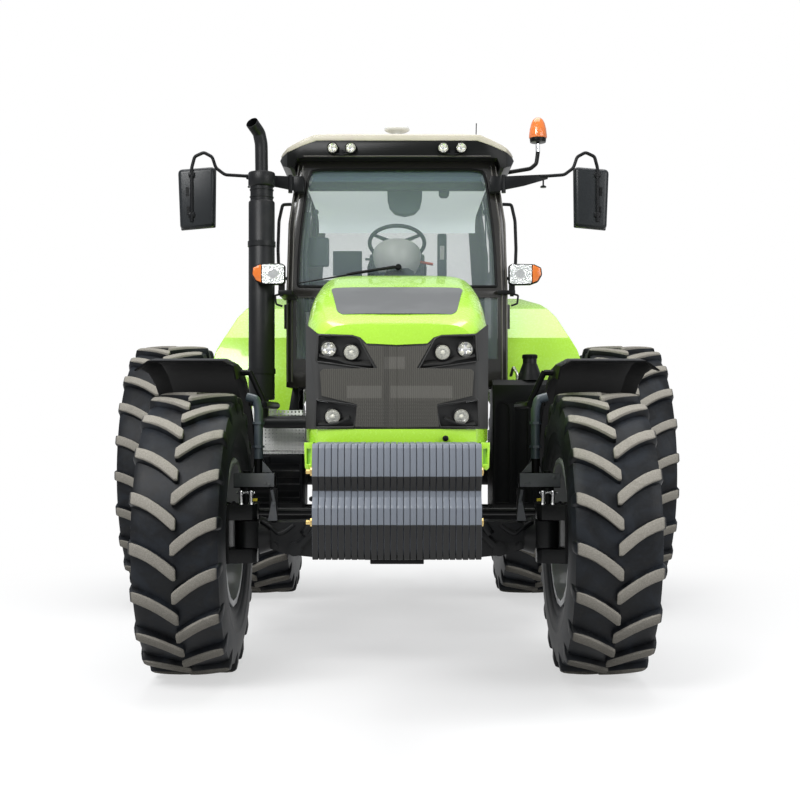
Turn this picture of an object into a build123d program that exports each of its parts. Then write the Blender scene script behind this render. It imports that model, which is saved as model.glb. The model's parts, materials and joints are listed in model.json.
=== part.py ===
from build123d import *
import math
import os

# Farm tractor on dual rear wheels. Millimetres, +Z up, the nose points to -Y, +X is the machine's left.
# z = 0 is the ground, x = 0 the centre plane, y = 0 halfway between the front and rear ends.
os.makedirs("parts", exist_ok=True)

# ---------------------------------------------------------------- driving dimensions
SEAT = 0.3                    # gap between pieces that are bolted face to face
PIN_CLEAR = 0.3               # radial clearance of a pivot pin
FRONT_AXLE_Y, REAR_AXLE_Y = -1325.0, 1575.0
FRONT_END_Y, REAR_END_Y = -2825.0, 2825.0

# wheels: tyre radius to the lug tips, half width, rim seat radius, lug depth, lugs per side
FRONT_TYRE_R, FRONT_TYRE_HALF, FRONT_SEAT_R, FRONT_LUG_H, FRONT_LUGS = 717.0, 215.0, 356.0, 42.0, 19
REAR_TYRE_R, REAR_TYRE_HALF, REAR_SEAT_R, REAR_LUG_H, REAR_LUGS = 925.0, 264.0, 483.0, 46.0, 23
FRONT_TYRE_X = 1020.0
REAR_TYRE_XS = (1010.0, 1665.0)
BEAD_SHARE, EDGE_SHARE = 0.80, 0.93      # of the half width: rim bead, edge of the tread
RIM_WALL, RIM_FLANGE, RIM_DISC, FLANGE_STEP = 12.0, 20.0, 14.0, 6.0
FRONT_HUB_R, REAR_HUB_R = 150.0, 140.0

KINGPIN_X, KINGPIN_R = 770.0, 20.0
BEAM_BOTTOM, BEAM_TOP, BEAM_HALF_DEPTH = 598.0, 778.0, 90.0
ARM_DY, TIE_ROD_Z, TIE_ROD_R = 320.0, 798.0, 20.0
HUB_IN, HUB_OUT, SPINDLE_R = 946.0, 1120.0, 60.0
AXLE_BAR_R, BAR_IN, BAR_OUT = 55.0, 640.0, 1785.0

FRAME_HALF, FRAME_BOTTOM, FRAME_TOP = 240.0, 850.0, 1050.0
FRAME_FRONT_Y, FRAME_REAR_Y = -2330.0, -350.0
HOUSING_HALF, HOUSING_BOTTOM, HOUSING_TOP = 220.0, 520.0, 1000.0
HOUSING_REAR_Y = 1830.0
SHAFT_Z, SHAFT_R = 690.0, 38.0

WEIGHT_COUNT, WEIGHT_PITCH, WEIGHT_GAP = 26, 25.5, 2.0
WEIGHT_TOP, WEIGHT_BOTTOM = 1199.0, 743.0
CARRIER_FRONT_Y, CARRIER_BOTTOM = -2530.0, 860.0

GUARD_R, GUARD_T, GUARD_LEAD, GUARD_TRAIL = 888.0, 8.0, 12.0, 70.0
GUARD_IN, GUARD_OUT = 800.0, 1309.0
GUARD_SKIRT_IN, GUARD_SKIRT_OUT = 792.0, 841.0
GUARD_BAR_Z, GUARD_BAR_H, GUARD_POST_X = 945.0, 73.0, 709.0

BONNET_T = 10.0
BONNET_FRONT_Y, BONNET_REAR_Y = -2325.0, -332.0
BONNET_HINGE_Y, BONNET_HINGE_Z, HINGE_PIN_R = -360.0, 2085.0, 12.0

CAB_FLOOR, CAB_FLOOR_T, CAB_TOP = 1490.0, 50.0, 2860.0
CAB_HALF_LOW, CAB_HALF_MID, CAB_HALF_TOP = 667.0, 657.0, 600.0
CAB_WAIST, CAB_BOW = 2065.0, 2480.0
CAB_WALL, GLASS_T, GLASS_DEPTH = 42.0, 6.0, 15.0
CAB_FRONT_Y, CAB_FRONT_TOP_Y = -240.0, -180.0
CAB_REAR_Y, CAB_REAR_TOP_Y, CAB_REAR_WAIST = 1300.0, 1240.0, 2250.0
DOOR_FRONT_Y, DOOR_REAR_Y, DOOR_BOTTOM, DOOR_TOP = -130.0, 500.0, 1550.0, 2800.0
DOOR_GAP, DOOR_T, FRAME_WIDTH = 6.0, 38.0, 52.0
DOOR_HINGE_X, DOOR_HINGE_Y, DOOR_PIN_R, DOOR_HINGE_ZS = 684.0, 508.0, 6.0, (1680.0, 1980.0)
ROOF_SPLIT, ROOF_FRONT_Y, ROOF_REAR_Y = 2960.0, -300.0, 1420.0

BOX_FRONT_Y, BOX_BOTTOM = -330.0, 765.0
FENDER_T, FENDER_OUT, FENDER_CLEAR = 12.0, 1240.0, 45.0
MUFFLER_X, MUFFLER_Y, MUFFLER_R, PIPE_R = -789.0, -475.0, 77.0, 37.5
PIPE_Y, PIPE_Z = -440.0, 1280.0
BEACON_X, BEACON_Y = 898.0, 175.0
WHEEL_C, WHEEL_TILT, WHEEL_R, GRIP_R = (0.0, 325.0, 2440.0), 30.0, 178.0, 13.0

HITCH_TOP_Y, HITCH_TOP_Z = 1900.0, 1250.0
HITCH_LOW_Y, HITCH_LOW_Z = 1900.0, 560.0
LINK_DY, LINK_DZ, LINK_X = 440.0, -70.0, 330.0      # pivot to lift rod, the same for arm and link
HITCH_PIN_R, ROD_PIN_R, ROD_OUT = 20.0, 14.0, 44.0
EYE_R, EYE_BORE_R, EYE_HALF = 45.0, 18.6, 22.5

SIDES = (("left", 1.0), ("right", -1.0))


# ---------------------------------------------------------------- shape helpers
def face_of(plane, points, rounding):
    """Closed outline in a plane, with its corners rounded where a radius is given."""
    with BuildSketch(plane) as outline:
        with BuildLine():
            if rounding:
                FilletPolyline(*points, radius=rounding, close=True)
            else:
                Polyline(*points, close=True)
        make_face()
    return outline.sketch


def prism_x(points, x0, x1, mode=Mode.ADD, rounding=0.0):
    """Prism of a (y, z) outline between two x stations."""
    low, high = min(x0, x1), max(x0, x1)
    extrude(face_of(Plane.YZ.offset(low), points, rounding), amount=high - low, mode=mode)


def prism_y(points, y0, y1, mode=Mode.ADD, rounding=0.0):
    """Prism of an (x, z) outline between two y stations."""
    extrude(face_of(Plane.XZ.offset(-y0), points, rounding), amount=y0 - y1, mode=mode)


def prism_z(points, z0, z1, mode=Mode.ADD, rounding=0.0):
    """Prism of an (x, y) outline between two z stations."""
    extrude(face_of(Plane.XY.offset(z0), points, rounding), amount=z1 - z0, mode=mode)


def block(x0, x1, y0, y1, z0, z1, mode=Mode.ADD):
    """Box between two corners."""
    prism_z([(x0, y0), (x1, y0), (x1, y1), (x0, y1)], z0, z1, mode)


def disc(plane, centre, radius, length, mode=Mode.ADD, sides=0):
    """Cylinder, or a prism of so many sides, from a plane along its normal."""
    with BuildSketch(plane) as outline:
        with Locations(centre):
            if sides:
                RegularPolygon(radius, sides, rotation=180.0 / sides)
            else:
                Circle(radius)
    extrude(outline.sketch, amount=length, mode=mode)


def disc_x(y, z, radius, x0, x1, mode=Mode.ADD, sides=0):
    """Cylinder along x."""
    disc(Plane.YZ.offset(min(x0, x1)), (y, z), radius, abs(x1 - x0), mode, sides)


def disc_y(x, z, radius, y0, y1, mode=Mode.ADD, sides=0):
    """Cylinder along y."""
    disc(Plane.XZ.offset(-y0), (x, z), radius, y0 - y1, mode, sides)


def disc_z(x, y, radius, z0, z1, mode=Mode.ADD, sides=0):
    """Cylinder along z."""
    disc(Plane.XY.offset(z0), (x, y), radius, z1 - z0, mode, sides)


def rod(start, end, radius, mode=Mode.ADD, sides=8):
    """Bar between two points."""
    axis = Vector(*end) - Vector(*start)
    disc(Plane(origin=start, z_dir=axis), (0, 0), radius, axis.length, mode, sides)


def chain(points, radius, sides=8):
    """Bars from point to point, each run a little into the next."""
    for start, end in zip(points, points[1:]):
        reach = (Vector(*end) - Vector(*start)).normalized() * (0.4 * radius)
        rod(start, tuple(Vector(*end) + reach), radius, sides=sides)


def cone(plane, low_r, high_r, length, mode=Mode.ADD, sides=16):
    """Tapered prism from a plane along its normal."""
    with BuildPart(mode=Mode.PRIVATE) as body:
        for height, radius in ((0.0, low_r), (length, high_r)):
            with BuildSketch(plane.offset(height)):
                RegularPolygon(radius, sides, rotation=180.0 / sides)
        loft(ruled=True)
    add(body.part, mode=mode)


def mirrored(points):
    """Closed outline from the points of its +x half, bottom to top."""
    return list(points) + [(-x, z) for x, z in reversed(points)]


def sided(points, s):
    """Points of a left-hand outline carried over to the given side."""
    return [(s * x, z) for x, z in points]


def shrink(points, gap):
    """Outline drawn in on every side by the gap, for a piece that sits in an opening."""
    inner = offset(face_of(Plane.XY, points, 0.0), -gap, kind=Kind.INTERSECTION)
    edges = inner.faces()[0].outer_wire().order_edges()
    return [(point.X, point.Y) for point in (edge.position_at(0) for edge in edges)]


def save(builder, node):
    """Label one sub-part and write its file."""
    builder.part.label = node
    export_step(builder.part, "parts/" + node + ".step")


# ---------------------------------------------------------------- wheels
def wheel_turn(lugs):
    """Turn that sets a flat of the wheel's polygons at the foot."""
    return -90.0 + 180.0 / lugs


def drum(stations, lugs, mode=Mode.ADD):
    """Stack of polygon sections along x about the wheel's axis; a station is x and flat radius."""
    with BuildPart(mode=Mode.PRIVATE) as body:
        for x, flat in stations:
            with BuildSketch(Plane.YZ.offset(x)):
                RegularPolygon(flat, lugs, major_radius=False, rotation=wheel_turn(lugs))
        loft(ruled=True)
    add(body.part, mode=mode)


def lugged_tyre(radius, half, seat_r, lug_h, lugs):
    """Tyre about the x axis: carcass with one slanted lug per pitch, the two sides half a pitch apart."""
    root = radius - lug_h
    widest = seat_r + 0.45 * (root - seat_r)
    pitch = 2.0 * math.pi * root / lugs
    edge = EDGE_SHARE * half
    # lug outline: share of the tread half width, share of the pitch
    lug = ((-0.05, -0.40), (1.0, 0.10), (1.0, 0.36), (-0.05, -0.17))
    corner = 0.40 * pitch
    tip = math.sqrt(radius ** 2 - corner ** 2)          # flat lug tips, their far corners on the tyre's radius
    foot_turn = math.atan2(corner, tip)                 # sets one far corner exactly at the foot
    sink = root * (1.0 - math.cos(math.pi / lugs)) + 4.0
    with BuildPart(mode=Mode.PRIVATE) as body:
        drum(((-BEAD_SHARE * half, seat_r), (-edge, root), (edge, root), (half, widest),
              (BEAD_SHARE * half, seat_r)), lugs)
        for index in range(lugs):
            for s, stagger in ((1.0, 0.0), (-1.0, 0.5)):
                angle = math.radians(-90.0 + 360.0 / lugs * (index + stagger)) - foot_turn
                outward = Vector(0.0, math.cos(angle), math.sin(angle))
                foot = Plane(origin=outward * (root - sink), x_dir=(1, 0, 0), z_dir=outward)
                outline = face_of(foot, [(s * share * edge, step * pitch) for share, step in lug], 0.0)
                extrude(outline, amount=tip - root + sink)
        drum(((-half, seat_r), (half, seat_r)), lugs, Mode.SUBTRACT)
    return body.part


def wheel_rim(half, seat_r, lugs, hub_r, hub_x, ring_x):
    """Rim about the x axis: ring with flanges, and a dished disc from the hub to the ring."""
    inner, edge = seat_r - RIM_WALL, half + FLANGE_STEP
    with BuildPart(mode=Mode.PRIVATE) as body:
        drum(((-edge, seat_r), (edge, seat_r)), lugs)
        for x in (-edge - RIM_WALL, edge):
            drum(((x, seat_r + RIM_FLANGE), (x + RIM_WALL, seat_r + RIM_FLANGE)), lugs)
        drum(((-edge - RIM_WALL, inner), (edge + RIM_WALL, inner)), lugs, Mode.SUBTRACT)
        drum(((ring_x, inner + 3.0), (ring_x + RIM_DISC, inner + 3.0), (hub_x + RIM_DISC, hub_r + 60.0)), lugs)
        drum(((ring_x - 5.0, inner - 30.0), (ring_x, inner - 30.0), (hub_x, hub_r + 50.0)), lugs, Mode.SUBTRACT)
    return body.part


def placed(solid, x, y, z, s):
    """Copy of a left-hand wheel solid at its centre, mirrored for the right side."""
    copy = solid if s > 0 else mirror(solid, about=Plane.YZ, mode=Mode.PRIVATE)
    return copy.moved(Location((s * x, y, z)))


front_tyre = lugged_tyre(FRONT_TYRE_R, FRONT_TYRE_HALF, FRONT_SEAT_R, FRONT_LUG_H, FRONT_LUGS)
rear_tyre = lugged_tyre(REAR_TYRE_R, REAR_TYRE_HALF, REAR_SEAT_R, REAR_LUG_H, REAR_LUGS)
front_rim = wheel_rim(BEAD_SHARE * FRONT_TYRE_HALF + 1.0, FRONT_SEAT_R - SEAT, FRONT_LUGS, FRONT_HUB_R, 62.0, 5.0)
rear_rim = wheel_rim(BEAD_SHARE * REAR_TYRE_HALF + 1.0, REAR_SEAT_R - SEAT, REAR_LUGS, REAR_HUB_R, 50.0, -20.0)

for side, s in SIDES:
    with BuildPart() as tyre_front:
        add(placed(front_tyre, FRONT_TYRE_X, FRONT_AXLE_Y, FRONT_TYRE_R, s))
    save(tyre_front, "front_tyre_" + side)

    with BuildPart() as rim_front:
        add(placed(front_rim, FRONT_TYRE_X, FRONT_AXLE_Y, FRONT_TYRE_R, s))
        disc_x(FRONT_AXLE_Y, FRONT_TYRE_R, FRONT_HUB_R, s * HUB_IN, s * HUB_OUT, sides=24)
        disc_x(FRONT_AXLE_Y, FRONT_TYRE_R, 0.6 * FRONT_HUB_R, s * HUB_OUT, s * (HUB_OUT + 40.0), sides=24)
        disc_x(FRONT_AXLE_Y, FRONT_TYRE_R, SPINDLE_R + PIN_CLEAR, s * (HUB_IN - 1.0), s * 1090.0, Mode.SUBTRACT)
    save(rim_front, "front_rim_" + side)

    with BuildPart() as tyres_rear:
        for x in REAR_TYRE_XS:
            add(placed(rear_tyre, x, REAR_AXLE_Y, REAR_TYRE_R, s))
    save(tyres_rear, "rear_tyres_" + side)

    with BuildPart() as rims_rear:
        for x in REAR_TYRE_XS:
            add(placed(rear_rim, x, REAR_AXLE_Y, REAR_TYRE_R, s))
            disc_x(REAR_AXLE_Y, REAR_TYRE_R, REAR_HUB_R, s * (x - 60.0), s * (x + 80.0), sides=24)
        disc_x(REAR_AXLE_Y, REAR_TYRE_R, AXLE_BAR_R, s * BAR_IN, s * BAR_OUT)
    save(rims_rear, "rear_rims_" + side)

# ---------------------------------------------------------------- front axle, knuckles, tie rod
with BuildPart() as front_axle:
    # half outline of the beam casting: x, z
    beam = mirrored([
        (150.0, BEAM_BOTTOM - 14.0), (430.0, BEAM_BOTTOM), (560.0, BEAM_BOTTOM + 14.0), (640.0, BEAM_BOTTOM + 42.0),
        (640.0, BEAM_TOP - 8.0), (430.0, BEAM_TOP),
    ])
    prism_y(beam, FRONT_AXLE_Y + BEAM_HALF_DEPTH, FRONT_AXLE_Y - BEAM_HALF_DEPTH)
    disc_y(0.0, BEAM_TOP - 104.0, 104.0, FRONT_AXLE_Y + 180.0, FRONT_AXLE_Y - 150.0, sides=20)
    for s in (1.0, -1.0):
        bell = Plane(origin=(s * 590.0, FRONT_AXLE_Y, 702.0), x_dir=(0, 1, 0), z_dir=(s, 0, 0))
        cone(bell, 62.0, 98.0, 110.0, sides=20)
        block(s * 690.0, s * KINGPIN_X, FRONT_AXLE_Y - 55.0, FRONT_AXLE_Y + 55.0, 640.0, 776.0)
        disc_z(s * KINGPIN_X, FRONT_AXLE_Y, 60.0, 640.0, 776.0, sides=20)
        disc_z(s * KINGPIN_X, FRONT_AXLE_Y, KINGPIN_R + PIN_CLEAR, 639.0, 777.0, Mode.SUBTRACT)
        block(s * 615.0, s * 650.0, FRONT_AXLE_Y - 30.0, FRONT_AXLE_Y + 30.0, 740.0, GUARD_BAR_Z - 5.3)
        front_face = FRONT_AXLE_Y - BEAM_HALF_DEPTH
        for x, z, radius, reach in ((515.0, 640.0, 36.0, 26.0), (618.0, 655.0, 18.0, 16.0)):
            disc_y(s * x, z, radius, front_face + 5.0, front_face - reach, sides=16)
        rod((s * 500.0, front_face - 4.0, 650.0), (s * 400.0, front_face - 4.0, 748.0), 24.0)
save(front_axle, "front_axle")

PIN_TOP, FORK_TOP, FORK_LOW = 1030.0, (782.0, 862.0), (563.0, 634.0)
for side, s in SIDES:
    with BuildPart() as knuckle:
        fork = [(s * (KINGPIN_X + dx), FRONT_AXLE_Y + dy) for dx, dy in (
            (-56.0, -34.0), (-34.0, -56.0), (110.0, -90.0), (110.0, 90.0), (-34.0, 56.0), (-56.0, 34.0))]
        for z0, z1 in (FORK_TOP, FORK_LOW):
            prism_z(fork, z0, z1)
        block(s * 850.0, s * 880.0, FRONT_AXLE_Y - 90.0, FRONT_AXLE_Y + 90.0, FORK_LOW[0], FORK_TOP[1])
        disc_x(FRONT_AXLE_Y, FRONT_TYRE_R, 130.0, s * 876.0, s * 940.0, sides=20)
        disc_x(FRONT_AXLE_Y, FRONT_TYRE_R, SPINDLE_R, s * 930.0, s * 1089.0)
        disc_z(s * KINGPIN_X, FRONT_AXLE_Y, KINGPIN_R, 600.0, PIN_TOP)
        disc_z(s * KINGPIN_X, FRONT_AXLE_Y, 34.0, FORK_TOP[1] - 1.0, GUARD_BAR_Z - SEAT, sides=16)
        arm = [(s * (KINGPIN_X + dx), FRONT_AXLE_Y + dy) for dx, dy in (
            (-26.0, 30.0), (30.0, 30.0), (26.0, ARM_DY + 28.0), (-26.0, ARM_DY + 28.0))]
        prism_z(arm, TIE_ROD_Z + 22.0, TIE_ROD_Z + 52.0)
        disc_z(s * KINGPIN_X, FRONT_AXLE_Y + ARM_DY, 16.0, TIE_ROD_Z - 22.0, TIE_ROD_Z + 24.0)
    save(knuckle, "knuckle_" + side)

with BuildPart() as tie_rod:
    rod_y = FRONT_AXLE_Y + ARM_DY
    rod((-KINGPIN_X, rod_y, TIE_ROD_Z), (KINGPIN_X, rod_y, TIE_ROD_Z), TIE_ROD_R, sides=12)
    for s in (1.0, -1.0):
        disc_z(s * KINGPIN_X, rod_y, 32.0, TIE_ROD_Z - 18.0, TIE_ROD_Z + 18.0, sides=16)
        disc_z(s * KINGPIN_X, rod_y, 16.0 + PIN_CLEAR, TIE_ROD_Z - 30.0, TIE_ROD_Z + 30.0, Mode.SUBTRACT)
save(tie_rod, "tie_rod")

# ---------------------------------------------------------------- front mudguards on the kingpins
# section: x, radius, from the inner skirt over the crown to the outer skirt, and back under it
GUARD_SECTION = (
    (GUARD_IN, GUARD_SKIRT_IN), (GUARD_IN + 12.0, GUARD_R - 30.0), (GUARD_IN + 70.0, GUARD_R),
    (GUARD_OUT - 70.0, GUARD_R), (GUARD_OUT, GUARD_SKIRT_OUT), (GUARD_OUT - 4.0, GUARD_SKIRT_OUT - GUARD_T),
    (GUARD_OUT - 72.0, GUARD_R - GUARD_T), (GUARD_IN + 73.0, GUARD_R - GUARD_T), (GUARD_IN + 20.0, GUARD_R - 36.0),
    (GUARD_IN + 8.0, GUARD_SKIRT_IN),
)
GUARD_STEPS, STAY_R, RAIL_Z = 7, 820.0, 1370.0
for side, s in SIDES:
    with BuildPart(mode=Mode.PRIVATE) as sheet:
        for index in range(GUARD_STEPS + 1):
            turn = math.radians(GUARD_LEAD - (GUARD_LEAD + GUARD_TRAIL) * index / GUARD_STEPS)
            across = Plane(
                origin=(0.0, FRONT_AXLE_Y, FRONT_TYRE_R), x_dir=(s, 0, 0),
                z_dir=(0, -s * math.cos(turn), -s * math.sin(turn)))
            add(face_of(across, GUARD_SECTION, 0.0))
        loft(ruled=True)
    with BuildPart() as guard:
        add(sheet.part)
        # carrier: bar on the kingpin, post, rail and two stays under the skirt
        block(s * 623.0, s * 832.0, FRONT_AXLE_Y - 38.0, FRONT_AXLE_Y + 38.0, GUARD_BAR_Z, GUARD_BAR_Z + GUARD_BAR_H)
        disc_z(s * KINGPIN_X, FRONT_AXLE_Y, KINGPIN_R + PIN_CLEAR, 940.0, 1030.0, Mode.SUBTRACT)
        gusset = sided([(GUARD_POST_X - 60.0, 1010.0), (GUARD_POST_X + 30.0, 1010.0),
                        (GUARD_POST_X + 22.0, 1100.0), (GUARD_POST_X - 20.0, 1100.0)], s)
        prism_y(gusset, FRONT_AXLE_Y + 6.0, FRONT_AXLE_Y - 6.0)
        chain([(s * GUARD_POST_X, FRONT_AXLE_Y, 1010.0), (s * GUARD_POST_X, FRONT_AXLE_Y, 1355.0),
               (s * (GUARD_POST_X + 22.0), FRONT_AXLE_Y, 1398.0), (s * 760.0, FRONT_AXLE_Y, 1408.0)], 22.0)
        # the rail runs inward of the tyre's shoulder at full lock: distance behind the axle, x
        rail = ((0.0, GUARD_POST_X - 25.0), (60.0, GUARD_POST_X - 27.0), (480.0, GUARD_POST_X - 43.0))
        chain([(s * x, FRONT_AXLE_Y + y_off, RAIL_Z) for y_off, x in rail], 20.0)
        for y_off, x in rail[1:]:
            height = FRONT_TYRE_R + math.sqrt(STAY_R ** 2 - y_off ** 2)
            chain([(s * x, FRONT_AXLE_Y + y_off, RAIL_Z), (s * 760.0, FRONT_AXLE_Y + y_off, height),
                   (s * 811.0, FRONT_AXLE_Y + y_off, height)], 16.0)
    save(guard, "front_mudguard_" + side)

# ---------------------------------------------------------------- frame, engine, housings
with BuildPart() as front_frame:
    prism_x([
        (FRAME_REAR_Y, FRAME_BOTTOM), (-1215.0, FRAME_BOTTOM), (-1235.0, BEAM_TOP + SEAT), (-1415.0, BEAM_TOP + SEAT),
        (-1435.0, FRAME_BOTTOM), (-2000.0, FRAME_BOTTOM), (FRAME_FRONT_Y, 800.0), (FRAME_FRONT_Y, FRAME_TOP),
        (FRAME_REAR_Y, FRAME_TOP),
    ], -FRAME_HALF, FRAME_HALF)
save(front_frame, "front_frame")

with BuildPart() as engine:
    block(-230.0, 230.0, -1450.0, -420.0, FRAME_TOP + SEAT, 1640.0)
    block(-170.0, 170.0, -1420.0, -450.0, 1639.0, 1740.0)
    disc_y(0.0, 1300.0, 150.0, -1449.0, -1500.0, sides=20)
    for s in (1.0, -1.0):
        block(s * 229.0, s * 280.0, -1300.0, -425.0, 1150.0, 1500.0)
save(engine, "engine")

with BuildPart() as radiator:
    block(-310.0, 310.0, -2120.0, -1750.0, FRAME_TOP + SEAT, 1600.0)
    block(-270.0, 270.0, -2060.0, -1780.0, 1599.0, 1680.0)
    disc_y(0.0, 1330.0, 250.0, -1600.0, -1751.0, sides=24)
save(radiator, "radiator")

with BuildPart() as hinge_frame:
    block(-340.0, 340.0, -398.0, -380.0, FRAME_TOP + SEAT, 2020.0)
    for s in (1.0, -1.0):
        prism_x([(-398.0, 2010.0), (-340.0, 2010.0), (-340.0, 2100.0), (-380.0, 2100.0), (-398.0, 2060.0)],
                s * 214.0, s * 230.0)
    disc_x(BONNET_HINGE_Y, BONNET_HINGE_Z, HINGE_PIN_R, -240.0, 240.0)
save(hinge_frame, "bonnet_hinge_frame")

with BuildPart() as housing:
    prism_x([
        (FRAME_REAR_Y + SEAT, FRAME_BOTTOM), (-150.0, HOUSING_BOTTOM + 60.0), (200.0, HOUSING_BOTTOM),
        (HOUSING_REAR_Y, HOUSING_BOTTOM), (HOUSING_REAR_Y, 1180.0), (1350.0, 1180.0), (1200.0, HOUSING_TOP),
        (-150.0, HOUSING_TOP), (FRAME_REAR_Y + SEAT, FRAME_TOP),
    ], -HOUSING_HALF, HOUSING_HALF)
    for s in (1.0, -1.0):
        for y in (-100.0, 1180.0):
            block(s * 150.0, s * 219.0, y - 45.0, y + 45.0, HOUSING_TOP - 20.0, CAB_FLOOR - SEAT)
        for y in (-190.0, 15.0):
            block(s * 200.0, s * 880.0, y - 38.0, y + 38.0, BOX_BOTTOM - 75.0, BOX_BOTTOM - SEAT)
    disc_y(0.0, SHAFT_Z, 60.0, -150.0, -262.0, sides=16)
save(housing, "transmission")

with BuildPart() as trumpets:
    for s in (1.0, -1.0):
        outboard = Plane(origin=(s * (HOUSING_HALF + SEAT), REAR_AXLE_Y, REAR_TYRE_R), x_dir=(0, 1, 0), z_dir=(s, 0, 0))
        cone(outboard, 185.0, 130.0, 410.0, sides=20)
        disc_x(REAR_AXLE_Y, REAR_TYRE_R, 120.0, s * 620.0, s * 690.0, sides=20)
        disc_x(REAR_AXLE_Y, REAR_TYRE_R, AXLE_BAR_R + PIN_CLEAR, s * (BAR_IN - SEAT), s * 700.0, Mode.SUBTRACT)
        # fender carrier on each trumpet
        block(s * 600.0, s * CAB_HALF_LOW, REAR_AXLE_Y - 40.0, REAR_AXLE_Y + 40.0, 1000.0, 2130.0)
save(trumpets, "rear_axle")

with BuildPart() as prop_shaft:
    disc_y(0.0, SHAFT_Z, SHAFT_R, -262.0 - SEAT, FRONT_AXLE_Y + 180.0 + SEAT, sides=12)
save(prop_shaft, "prop_shaft")

# ---------------------------------------------------------------- front weights
TOW_Y, TOW_Z = -2650.0, 726.0
with BuildPart() as carrier:
    block(-320.0, 320.0, CARRIER_FRONT_Y, FRAME_FRONT_Y - SEAT, CARRIER_BOTTOM, FRAME_TOP)
    block(-107.0, 107.0, TOW_Y - 50.0, -2400.0, TOW_Z - 11.0, TOW_Z + 11.0)
    block(-107.0, 107.0, -2430.0, -2400.0, TOW_Z + 10.0, CARRIER_BOTTOM + 1.0)
    disc_z(0.0, TOW_Y, 16.0, TOW_Z - 20.0, TOW_Z + 20.0, Mode.SUBTRACT)
    block(-350.0, -319.0, CARRIER_FRONT_Y, -2440.0, 920.0, 1005.0)
save(carrier, "weight_carrier")


def weight_outline(inset):
    """Side outline of one hook-on weight, its front drawn in by the inset."""
    front = FRONT_END_Y + inset
    return [
        (front + 30.0, WEIGHT_BOTTOM + inset), (front + 12.0, 868.0), (front, 900.0), (front, 945.0),
        (front + 32.0, 984.0), (front + 32.0, 1018.0), (front, 1055.0), (front, 1095.0), (front + 16.0, 1125.0),
        (front + 22.0, WEIGHT_TOP - inset), (-2400.0 - inset, WEIGHT_TOP - inset), (-2400.0 - inset, FRAME_TOP + SEAT),
        (CARRIER_FRONT_Y - SEAT, FRAME_TOP + SEAT), (CARRIER_FRONT_Y - SEAT, WEIGHT_BOTTOM + inset),
    ]


WEIGHT_SPAN = WEIGHT_COUNT * WEIGHT_PITCH - WEIGHT_GAP
with BuildPart() as weights:
    prism_x(weight_outline(9.0), -0.5 * WEIGHT_SPAN + 2.0, 0.5 * WEIGHT_SPAN - 2.0)
    for index in range(WEIGHT_COUNT):
        x = -0.5 * WEIGHT_SPAN + index * WEIGHT_PITCH
        prism_x(weight_outline(0.0), x, x + WEIGHT_PITCH - WEIGHT_GAP)
    for z in (878.0, 1081.0):
        disc_x(-2660.0, z, 11.0, -365.0, 345.0, sides=8)
save(weights, "front_weights")

# ---------------------------------------------------------------- bonnet
# station: y, bottom z, half width, top z
BONNET_STATIONS = (
    (BONNET_FRONT_Y + 15.0, 1186.0, 337.0, 1703.0),
    (-2215.0, 1188.0, 402.0, 1742.0),
    (-1950.0, 1205.0, 414.0, 1838.0),
    (-1625.0, 1240.0, 420.0, 1938.0),
    (-1000.0, 1320.0, 420.0, 2062.0),
    (BONNET_REAR_Y, 1400.0, 420.0, 2149.0),
)
# shoulder: distance in from the side, drop below the top
SHOULDER = ((0.0, 128.0), (9.0, 82.0), (26.0, 44.0), (54.0, 17.0), (105.0, 3.0), (200.0, 0.0))
NOSE_CORNER_Y, BAND_Z = -2222.0, 1250.0


def bonnet_body(inset, stations):
    """Ruled body through the bonnet's stations, drawn in by the inset."""
    with BuildPart(mode=Mode.PRIVATE) as body:
        for y, bottom, half, top in stations:
            outline = mirrored([(half - inset, bottom - inset)] + [
                (half - inset - 0.9 * across, top - inset - down) for across, down in SHOULDER])
            add(face_of(Plane.XZ.offset(-y), outline, 0.0))
        loft(ruled=True)
    return body.part


first, last = BONNET_STATIONS[0], BONNET_STATIONS[-1]
inner_stations = ((first[0] + 14.0,) + first[1:],) + BONNET_STATIONS[1:-1] + ((last[0] + 8.0,) + last[1:],)
# lower edge of the chin: x, z, from the side to the centre
CHIN = ((402.0, 1712.0), (340.0, 1661.0), (191.0, 1655.0), (156.0, 1643.0), (131.0, 1618.0), (0.0, 1611.0))


def face_outline(gap, half):
    """Front outline of the opening under the chin, drawn in by a gap."""
    chin = [(min(x, half), z - gap) for x, z in CHIN]
    return [(half, BAND_Z + gap)] + chin + [(-x, z) for x, z in reversed(chin[:-1])] + [(-half, BAND_Z + gap)]


with BuildPart(mode=Mode.PRIVATE) as ridge:
    prism_z([(-330.0, BONNET_FRONT_Y + 16.0), (0.0, BONNET_FRONT_Y - 10.0), (330.0, BONNET_FRONT_Y + 16.0),
             (330.0, BONNET_FRONT_Y + 28.0), (-330.0, BONNET_FRONT_Y + 28.0)], 1190.0, 1700.0)
with BuildPart() as bonnet:
    add(bonnet_body(0.0, BONNET_STATIONS))
    add(bonnet_body(BONNET_T, inner_stations), mode=Mode.SUBTRACT)
    add(ridge.part)
    prism_y(face_outline(0.0, 402.0), NOSE_CORNER_Y, BONNET_FRONT_Y - 20.0, Mode.SUBTRACT)
    for s in (1.0, -1.0):
        block(s * 362.0, s * 400.0, -2290.0, -2190.0, 1071.0, 1192.0)
        block(s * 150.0, s * 200.0, BONNET_HINGE_Y - 14.0, BONNET_HINGE_Y + 14.0, 2068.0, 2142.0)
        disc_x(BONNET_HINGE_Y, BONNET_HINGE_Z, HINGE_PIN_R + PIN_CLEAR, s * 140.0, s * 210.0, Mode.SUBTRACT)
save(bonnet, "bonnet")

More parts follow.
